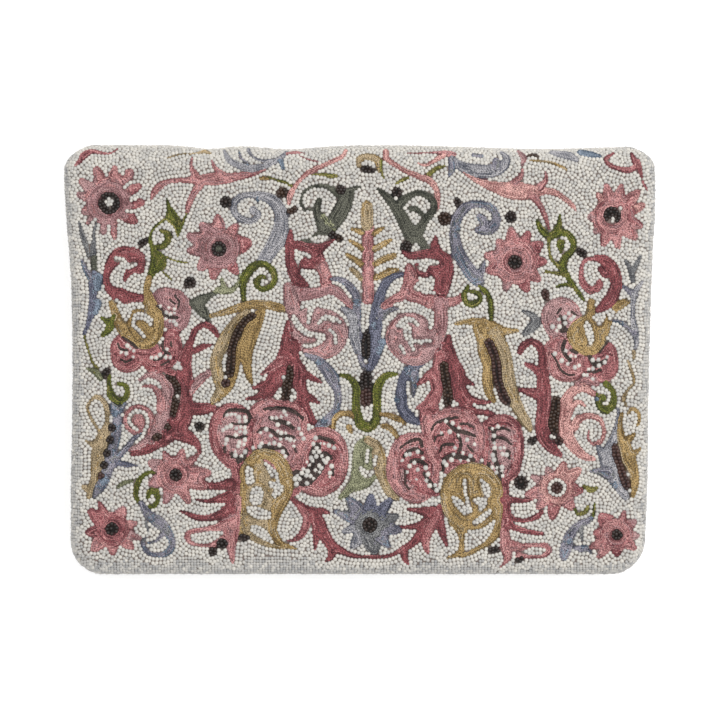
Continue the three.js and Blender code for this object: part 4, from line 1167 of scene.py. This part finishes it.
material, tree, shader = new_material("tinted_cotton", 0.9)
above = node(tree, "ShaderNodeAttribute", attribute_name="work_above")
weave = woven(tree, threads=2.2)
# Painted shade: the cotton is lighter where its threads rise and darker between them; the slub adds the
# yarn's own unevenness.
shade = node(tree, "ShaderNodeMath", operation="ADD")
tree.links.new(weave.outputs["Height"], shade.inputs[0])
tree.links.new(weave.outputs["Slub"], shade.inputs[1])
toned = node(tree, "ShaderNodeVectorMath", operation="SCALE")
tree.links.new(above.outputs["Color"], toned.inputs[0])
tree.links.new(shade.outputs[0], toned.inputs["Scale"])
tree.links.new(toned.outputs[0], shader.inputs["Base Color"])
raise_by(tree, shader, weave.outputs["Height"], strength=0.5, distance=0.0001)
flap_cloth.data.materials.append(material)

# The ground beads. Opaque white glass seed beads, sewn in rows: two rows round every motif, rows that
# run in from the turned edge all round the border, and then rows that fill what is left.
BEAD_PITCH, BEAD_RADIUS = 1.46, 0.9
BEAD_KEEPS, BEAD_EDGE, FIRST_ROW = 0.88, 0.36, 0.46
ROWS_ROUND_MOTIFS, ROWS_BEYOND = 2, 6
SMALL_RADIUS, SMALL_SPACING, BEAD_SINK = 0.7, 0.74, 0.25
# The border's beads are toned darker and more neutral than the inner ones: partly their own greyer tone,
# partly painted shade over the rolled border.
INNER_TONE, SHADED_BORDER_TONE, TONE_RANGE = 0.27, -0.1, 0.6
BORDER_PITCH, BORDER_RADIUS, BORDER_ROWS, BORDER_UNEVEN = 1.14, 0.74, 9, 0.07
BORDER_KEEPS, BORDER_START = 0.78, 0.35
FOLD_START, FOLD_HALF = 0.7, 112
BEAD_UNEVEN, BEAD_STRETCH = (0.92, 1.03), np.array([0.96, 1.02, 1.0])
BEAD_SIDES, BEAD_RINGS = 8, [(0.88, 0.58), (1.0, -0.3)]
GROUND_PARTS = (("left", -200, -66), ("inner_left", -66, 0), ("inner_right", 0, 66), ("right", 66, 200))


def bead_rows(first, last):
    return [BEAD_PITCH * (k + FIRST_ROW) for k in range(first, last)]


bead_print = prints(0.0, BEAD_PITCH * BEAD_KEEPS)
beads, strung = [], np.zeros(work.shape, bool)
white_free = on_cloth & (work == KINDS.index("white")) & (distance > BEAD_PITCH * BEAD_EDGE)
lay_rows(beads, strung, white_free, bead_print, bead_rows(0, ROWS_ROUND_MOTIFS), BEAD_PITCH)


def border(offset, pitch, end_at, way, downs, thinned=False):
    """Places this far in from the sides, the corners and the end of the cloth, with the way in.

    A thinned row leaves out about every other bead in the corners, where it would crowd."""
    corner_start = end_at - way * CORNER
    reach = CORNER - offset
    rows = []
    for side in (-1, 1):
        for down in downs:
            rows.append((side * (cloth_edge(side, down) - offset), down, -side, 0.0))
        middle = side * (cloth_edge(side, corner_start) - CORNER)
        for angle in np.arange(0.5, CORNER * math.pi / 2 / pitch) * pitch / CORNER:
            c, s = math.cos(angle), math.sin(angle)
            if not thinned or int(angle * 100) % 2:
                rows.append((middle + side * c * reach, corner_start + way * s * reach, -side * c, -way * s))
    left, right = CORNER - cloth_edge(-1, corner_start), cloth_edge(1, corner_start) - CORNER
    for across in np.arange(left, right, pitch):
        rows.append((across, end_at - way * offset, 0.0, -way))
    return rows


def lay_at(across, along, shape, run_x, run_y):
    x, y = on_net(across, along)
    i, j = int(y + 0.5), int(x + 0.5)
    if white_free[i, j] and not strung[i, j]:
        lay_one(beads, strung, shape, x, y, run_x, run_y)


border_print = prints(0.0, BORDER_PITCH * BORDER_KEEPS)
border_downs = np.arange(FOLD_START, HEM_AT - CORNER, BORDER_PITCH)
border_from = len(beads)
for k in range(BORDER_ROWS):
    offset = (k + BORDER_START) * BORDER_PITCH
    for at_across, at_along, in_x, in_y in border(offset, BORDER_PITCH, HEM_AT, 1, border_downs):
        off_x, off_y = random.normal(0, BORDER_UNEVEN, 2)
        lay_at(at_across + off_x, at_along + off_y, border_print, in_x, in_y)
border_to = len(beads)
lay_rows(beads, strung, white_free, bead_print, bead_rows(ROWS_ROUND_MOTIFS, ROWS_BEYOND), BEAD_PITCH)
for down in np.arange(FOLD_START, FOLD_LENGTH, BEAD_PITCH):
    for at_across in np.arange(-FOLD_HALF, FOLD_HALF, BEAD_PITCH):
        lay_at(at_across, down, bead_print, 0.0, 1.0)
lay_rest(beads, strung, white_free, bead_print)
small_from = len(beads)
small_print = prints(0.0, BEAD_PITCH * SMALL_SPACING)
strung[:] = False
for x, y, run_x, run_y in beads[:small_from]:
    lay_one([], strung, small_print, x, y, run_x, run_y)
lay_rest(beads, strung, white_free, small_print)
across, along, run_x, run_y, _ = unrolled(beads)
radius = np.full(len(across), BEAD_RADIUS)
radius[border_from:border_to] = BORDER_RADIUS
radius[small_from:] = SMALL_RADIUS
tones = np.full(len(across), INNER_TONE)
tones[border_from:border_to] = SHADED_BORDER_TONE


def bead_shape(sides, rings):
    """A round bead of radius 1, set by its middle, with few faces: most of them where it shows."""
    turns = np.linspace(0, 2 * math.pi, sides, endpoint=False)
    points = [(0, 0, 1)] + [(r * math.cos(t), r * math.sin(t), z) for r, z in rings for t in turns]
    faces = [(1 + sides, 2 + sides + k, 1 + sides + k) for k in range(1, sides - 1)]
    for k in range(sides):
        n = (k + 1) % sides
        a, b = 1, 1 + sides
        faces += [(0, a + k, a + n), (a + k, b + k, b + n), (a + k, b + n, a + n)]
    return np.array(points), np.array(faces), np.array([0 in face for face in faces])


def glass_beads(name, dark, light):
    material, tree, shader = new_material(name, 0.34)
    tone_by_shade(tree, shader, {"Scale": 60.0, "Detail": 3.0}, 0.4, dark, light)
    return material


bead, bead_faces, bead_tops = bead_shape(BEAD_SIDES, BEAD_RINGS)
white_glass = glass_beads("white_glass", (0.345, 0.342, 0.34), (0.665, 0.635, 0.578))


def string_beads(name, across, along, run_x, run_y, radius, material, tones=0.0):
    count = len(across)
    places = set_on_cloth(across, along, run_x, run_y, radius + random.uniform(0, BEAD_SINK, count))
    sizes = np.reshape(radius, (-1, 1)) * random.uniform(*BEAD_UNEVEN, (count, 1)) * BEAD_STRETCH
    shades = tones + random.uniform(0, TONE_RANGE, count)
    piece = joined(name, bead, bead_faces, places, sizes, shades, bead_tops)
    piece.data.materials.append(material)
    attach(piece, "root")


for name, low, high in GROUND_PARTS:
    own = (across >= low) & (across < high)
    string_beads(
        f"ground_beads_{name}", across[own], along[own], run_x[own], run_y[own], radius[own], white_glass,
        tones[own]
    )

# The spots. Black, brown and plum glass beads of the ground's size, sewn close together as the eyes of
# the flowers, as berries and along the middles of the leaves.
SPOT_EDGE, SPOT_KEEPS, SPOT_STEP, SPOT_ROWS = 0.3, 0.86, 0.96, 5
SPOT_GLASS = {
    "dark": ((0.01, 0.006, 0.005), (0.032, 0.018, 0.014)),
    "brown": ((0.02, 0.009, 0.005), (0.06, 0.03, 0.017)),
    "plum": ((0.028, 0.011, 0.01), (0.086, 0.039, 0.03)),
}
dots, spotted = [], np.zeros(work.shape, bool)
spot_free = on_cloth & (work > 0) & (work <= KINDS.index("plum")) & (distance > BEAD_PITCH * SPOT_EDGE)
spot_print = prints(0.0, BEAD_PITCH * SPOT_KEEPS)
lay_rows(dots, spotted, spot_free, spot_print, bead_rows(0, SPOT_ROWS), BEAD_PITCH * SPOT_STEP)
lay_rest(dots, spotted, spot_free, spot_print)
across, along, run_x, run_y, kinds = unrolled(dots)
for name, (dark, light) in SPOT_GLASS.items():
    own = kinds == KINDS.index(name)
    string_beads(
        f"{name}_beads", across[own], along[own], run_x[own], run_y[own], BEAD_RADIUS,
        glass_beads(f"{name}_glass", dark, light)
    )

# The pomegranate seeds. Single beads of the same white glass as the ground, a little larger, each sewn
# down on top of the embroidery.
SEED_RADIUS = 1.2
at = []
for right, down in SEEDS:
    off = np.hypot(chart_right - (right - CHART_LOW[0]) * FINE, chart_down - (down - CHART_LOW[1]) * FINE)
    at.append(np.unravel_index(np.argmin(off), off.shape))
along, across = np.array(at).T * CELL
string_beads(
    "white_seeds", across - NET_HALF, along, np.ones(len(at)), np.zeros(len(at)), SEED_RADIUS, white_glass,
    INNER_TONE
)

# The back panel: the same run of cloth, white beaded all over and finished plainly, with its edge turned
# up all round. The rows on the turned edge are single beads, and the flat underneath is low relief: its
# beads are painted, each light in the middle and darker to its edge, as painted shade of its rounding,
# down to the cloth's own tone between beads.
BACK_RELIEF, RIM_ROWS, RIM_END = 0.25, 6, -0.6
BACK_ROWS, BACK_COLUMNS = 60, 90
back_rows = np.concatenate([
    BOTTOM_AT + corner_rows[::-1],
    np.linspace(BOTTOM_AT + CORNER, -SEAM_GAP, BACK_ROWS)[1:],
])
back_cloth = wrapped_sheet("back_cloth", back_rows, BACK_COLUMNS, BACK_RELIEF)
beaded, tree, shader = new_material("white_beads_painted_shade", 0.35)
uv = node(tree, "ShaderNodeUVMap", uv_map="unrolled")
rows = node(
    tree, "ShaderNodeTexVoronoi", {"Scale": 1 / BEAD_PITCH, "Randomness": 0.18}, voronoi_dimensions="2D"
)
tree.links.new(uv.outputs["UV"], rows.inputs["Vector"])
# Painted shade: each bead's colour darkens from its middle to its edge and into the gap beside it.
colours = ramp(tree, (0.34, (0.76, 0.75, 0.72)), (0.62, (0.3, 0.29, 0.27)))
tree.links.new(rows.outputs["Distance"], colours.inputs["Fac"])
tree.links.new(colours.outputs["Color"], shader.inputs["Base Color"])
raise_by(tree, shader, rows.outputs["Distance"], strength=0.8, distance=0.0006, invert=True)
back_cloth.data.materials.append(beaded)
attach(back_cloth, "root")
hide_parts("back_panel")

rim = []
rim_ups = np.arange(BOTTOM_AT + CORNER, RIM_END, BEAD_PITCH)
for k in range(RIM_ROWS):
    offset = (k + BORDER_START) * BEAD_PITCH
    rim += border(offset, BEAD_PITCH, BOTTOM_AT, -1, rim_ups, thinned=k == RIM_ROWS - 1)
across, along, run_x, run_y = np.array(rim).T
string_beads("back_rim_beads", across, along, run_x, run_y, BORDER_RADIUS, white_glass)

# The pocket front: doubled cream silk under the flap. It starts at the pocket's mouth and turns down at
# the bottom to the back panel, where it is felled.
POCKET_TOP, POCKET_TURN, SILK_WALL = 13.2, 8.0, 1.2
MOUTH_BELOW_CREST, TURN_Y, POCKET_TAIL = 25, -68.7, 2.5
POCKET_INSET, POCKET_FOOT_INSET = 4.0, 14.3
POCKET_ROWS, TURN_ROWS, POCKET_COLUMNS = 60, 12, 60
MOUTH_Y = CREST_Y - MOUTH_BELOW_CREST
stations = np.array(
    [(y, 0, 0) for y in np.linspace(MOUTH_Y, TURN_Y, POCKET_ROWS)]
    + [(TURN_Y, turn, 0) for turn in np.linspace(0, math.pi / 2, TURN_ROWS)[1:]]
    + [(TURN_Y, math.pi / 2, POCKET_TAIL)]
)
station_y, turn, tail = (stations[:, k, None] for k in range(3))
inset = POCKET_FOOT_INSET + (POCKET_INSET - POCKET_FOOT_INSET) * np.cos(turn)
left, right = edge_at(-1, station_y) - inset, edge_at(1, station_y) - inset
x = -left + (left + right) * np.linspace(0, 1, POCKET_COLUMNS + 1)
y = np.broadcast_to(station_y, x.shape)
z = POCKET_TOP - POCKET_TURN + POCKET_TURN * np.cos(turn) - tail + crown_at(x, y) * np.cos(turn)
silk_run = np.broadcast_to(station_y - POCKET_TURN * turn - tail, x.shape)
pocket_points = np.stack([x, y - POCKET_TURN * np.sin(turn), z], axis=-1)
pocket = sewn_sheet("pocket_silk", pocket_points, np.stack([x, silk_run], axis=-1), SILK_WALL)
cream_silk, tree, shader = new_material("cream_silk", 0.42, Sheen_Weight=0.4, Sheen_Roughness=0.35)
weave = woven(tree, threads=3.2)
# Painted shade: the silk is lighter where its threads rise and darker between them; the slub adds the yarn's
# own unevenness.
shade = node(tree, "ShaderNodeMath", {1: 0.45}, operation="MULTIPLY_ADD")
tree.links.new(weave.outputs["Height"], shade.inputs[0])
tree.links.new(weave.outputs["Slub"], shade.inputs[2])
colours = ramp(tree, (0.3, (0.56, 0.49, 0.38)), (0.85, (0.74, 0.68, 0.57)))
tree.links.new(shade.outputs[0], colours.inputs["Fac"])
tree.links.new(colours.outputs["Color"], shader.inputs["Base Color"])
raise_by(tree, shader, weave.outputs["Height"], strength=0.25, distance=0.0001)
pocket.data.materials.append(cream_silk)
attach(pocket, "root")
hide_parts("pocket_front")

# The gussets: a strip of the same silk down each side of the pouch, folded inwards in one soft pleat and
# sewn to the pocket front above and the back panel below.
PLEAT_INSET, PLEAT_DEPTH, PLEAT_ROUND = 6.5, 14.0, 1.5
GUSSET_TOP, GUSSET_BOTTOM, GUSSET_SHORTER = 10.5, 3.9, 0.3
LEG_COLUMNS, ROUND_COLUMNS, GUSSET_ROWS = 12, 13, 60
GUSSET_MIDDLE, GUSSET_HALF = (GUSSET_TOP + GUSSET_BOTTOM) / 2, (GUSSET_TOP - GUSSET_BOTTOM) / 2
share = np.linspace(0, 1, LEG_COLUMNS, endpoint=False)
leg_in = (PLEAT_DEPTH - PLEAT_ROUND) * share
leg_z = PLEAT_ROUND + (GUSSET_HALF - PLEAT_ROUND) * (1 - share) ** 2
turn = np.linspace(0, math.pi, ROUND_COLUMNS)
tip_in = PLEAT_DEPTH - PLEAT_ROUND + PLEAT_ROUND * np.sin(turn)
pleat_in = np.concatenate([leg_in, tip_in, leg_in[::-1]])
pleat_z = GUSSET_MIDDLE + np.concatenate([leg_z, PLEAT_ROUND * np.cos(turn), -leg_z[::-1]])
lean_in, lean_z = np.gradient(pleat_in), np.gradient(pleat_z)
lean = np.hypot(lean_in, lean_z)
face_in = pleat_in + lean_z / lean * SILK_WALL / 2
face_z = pleat_z - lean_in / lean * SILK_WALL / 2
gusset_y = np.linspace(MOUTH_Y, TURN_Y + GUSSET_SHORTER, GUSSET_ROWS)[:, None]
strip = np.cumsum(lean)
for name, side in (("gusset_left", -1), ("gusset_right", 1)):
    order = slice(None, None, side)
    x = side * (edge_at(side, gusset_y) - PLEAT_INSET - face_in[order])
    y = np.broadcast_to(gusset_y, x.shape)
    points = np.stack([x, y, np.broadcast_to(face_z[order], x.shape)], axis=-1)
    flat = np.stack([np.broadcast_to(strip[order], x.shape), y], axis=-1)
    piece = sewn_sheet(f"{name}_silk", points, flat, SILK_WALL)
    piece.data.materials.append(cream_silk)
    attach(piece, "root")
    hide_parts(name)

# The press stud: one plain turned metal fastener, sewn between the flap and the pocket front near the
# hem, and hidden while the clutch is shut.
STUD_RADIUS, STUD_THICKNESS, STUD_ABOVE_HEM, STUD_ABOVE_SILK = 5.0, 1.5, 26.0, 0.3
STUD_PROFILE = [(0, 0), (1, 0), (1, 0.4), (0.62, 0.6), (0.5, 1), (0, 1)]
STUD_STEPS, STUD_BEVEL, SHARP = 48, 0.12, 0.35
WELD = 1e-6
stud_y = -CREST_Y + STUD_ABOVE_HEM
stud_z = POCKET_TOP + float(crown_at(np.array(0.0), np.array(stud_y))) + STUD_ABOVE_SILK
bm = bmesh.new()
corners = []
for r, z in STUD_PROFILE:
    corners.append(bm.verts.new((r * STUD_RADIUS / MM_PER_METRE, 0, z * STUD_THICKNESS / MM_PER_METRE)))
edges = [bm.edges.new(pair) for pair in zip(corners, corners[1:])]
bmesh.ops.spin(
    bm, geom=corners + edges, cent=(0, 0, 0), axis=(0, 0, 1), angle=2 * math.pi, steps=STUD_STEPS,
    use_merge=True
)
bmesh.ops.remove_doubles(bm, verts=bm.verts[:], dist=WELD)
bmesh.ops.recalc_face_normals(bm, faces=bm.faces[:])
rims = [e for e in bm.edges if len(e.link_faces) == 2 and e.calc_face_angle() > SHARP]
bmesh.ops.bevel(
    bm, geom=rims, offset=STUD_BEVEL / MM_PER_METRE, offset_type="OFFSET", segments=2, profile=0.5,
    affect="EDGES", material=-1
)
bmesh.ops.translate(bm, verts=bm.verts[:], vec=(0, stud_y / MM_PER_METRE, stud_z / MM_PER_METRE))
stud = finished("press_stud_metal", bm)
brass, tree, shader = new_material("dull_brass", 0.35, Metallic=1.0)
places = node(tree, "ShaderNodeTexCoord")
tarnish = node(tree, "ShaderNodeTexNoise", {"Scale": 420.0, "Detail": 4.0})
tree.links.new(places.outputs["Object"], tarnish.inputs["Vector"])
tone = ramp(tree, (0.0, (0.36, 0.27, 0.13)), (1.0, (0.62, 0.52, 0.31)))
tree.links.new(tarnish.outputs["Fac"], tone.inputs["Fac"])
tree.links.new(tone.outputs["Color"], shader.inputs["Base Color"])
stud.data.materials.append(brass)
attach(stud, "root")
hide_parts("press_stud")

# The floor, the light and the camera: a plain pale table, two large soft lamps and an even pale
# surround, and a view from straight above that takes in the whole clutch with a margin.
FLOOR_HALF = 1.5
LAMPS = (
    ("lamp_above_left", (-0.4, 0.45, 1.5), 0.9, 4.0),
    ("lamp_above_right", (0.5, 0.2, 0.9), 0.8, 5.6),
)
CAMERA_PLACE, FOCUS_HEIGHT, FRAME_WIDTH, SENSOR_WIDTH = (0.0004, -0.00065, 1.6), 0.018, 0.2771, 36
floor_shape = bmesh.new()
bmesh.ops.create_grid(floor_shape, x_segments=1, y_segments=1, size=FLOOR_HALF)
floor = finished("floor", floor_shape)
pale, tree, shader = new_material("pale_table", 0.7, Emission_Strength=0.35)
places = node(tree, "ShaderNodeTexCoord")
mottle = node(tree, "ShaderNodeTexNoise", {"Scale": 12.0, "Detail": 2.0})
tree.links.new(places.outputs["Object"], mottle.inputs["Vector"])
tone = ramp(tree, (0.0, (0.95, 0.95, 0.95)), (1.0, (0.98, 0.98, 0.98)))
tree.links.new(mottle.outputs["Fac"], tone.inputs["Fac"])
tree.links.new(tone.outputs["Color"], shader.inputs["Base Color"])
floor.data.materials.append(pale)
floor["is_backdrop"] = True

world = bpy.data.worlds.new("pale_surround")
world.use_nodes = True
world.node_tree.nodes["Background"].inputs["Color"].default_value = (1, 1, 1, 1)
world.node_tree.nodes["Background"].inputs["Strength"].default_value = 0.66
bpy.context.scene.world = world
bpy.context.scene.view_settings.view_transform = "Standard"
for name, place, size, watts in LAMPS:
    lamp = bpy.data.lights.new(name, "AREA")
    lamp.size = size
    lamp.energy = watts
    holder = bpy.data.objects.new(name, lamp)
    holder.location = place
    aim = -np.array(place)
    holder.rotation_euler = (math.atan2(math.hypot(aim[0], aim[1]), -aim[2]), 0, math.atan2(-aim[0], aim[1]))
    bpy.context.collection.objects.link(holder)

lens = bpy.data.cameras.new("from_above")
lens.sensor_width = SENSOR_WIDTH
lens.lens = SENSOR_WIDTH * (CAMERA_PLACE[2] - FOCUS_HEIGHT) / FRAME_WIDTH
camera = bpy.data.objects.new("from_above", lens)
camera.location = CAMERA_PLACE
bpy.context.collection.objects.link(camera)
bpy.context.scene.camera = camera

low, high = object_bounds()
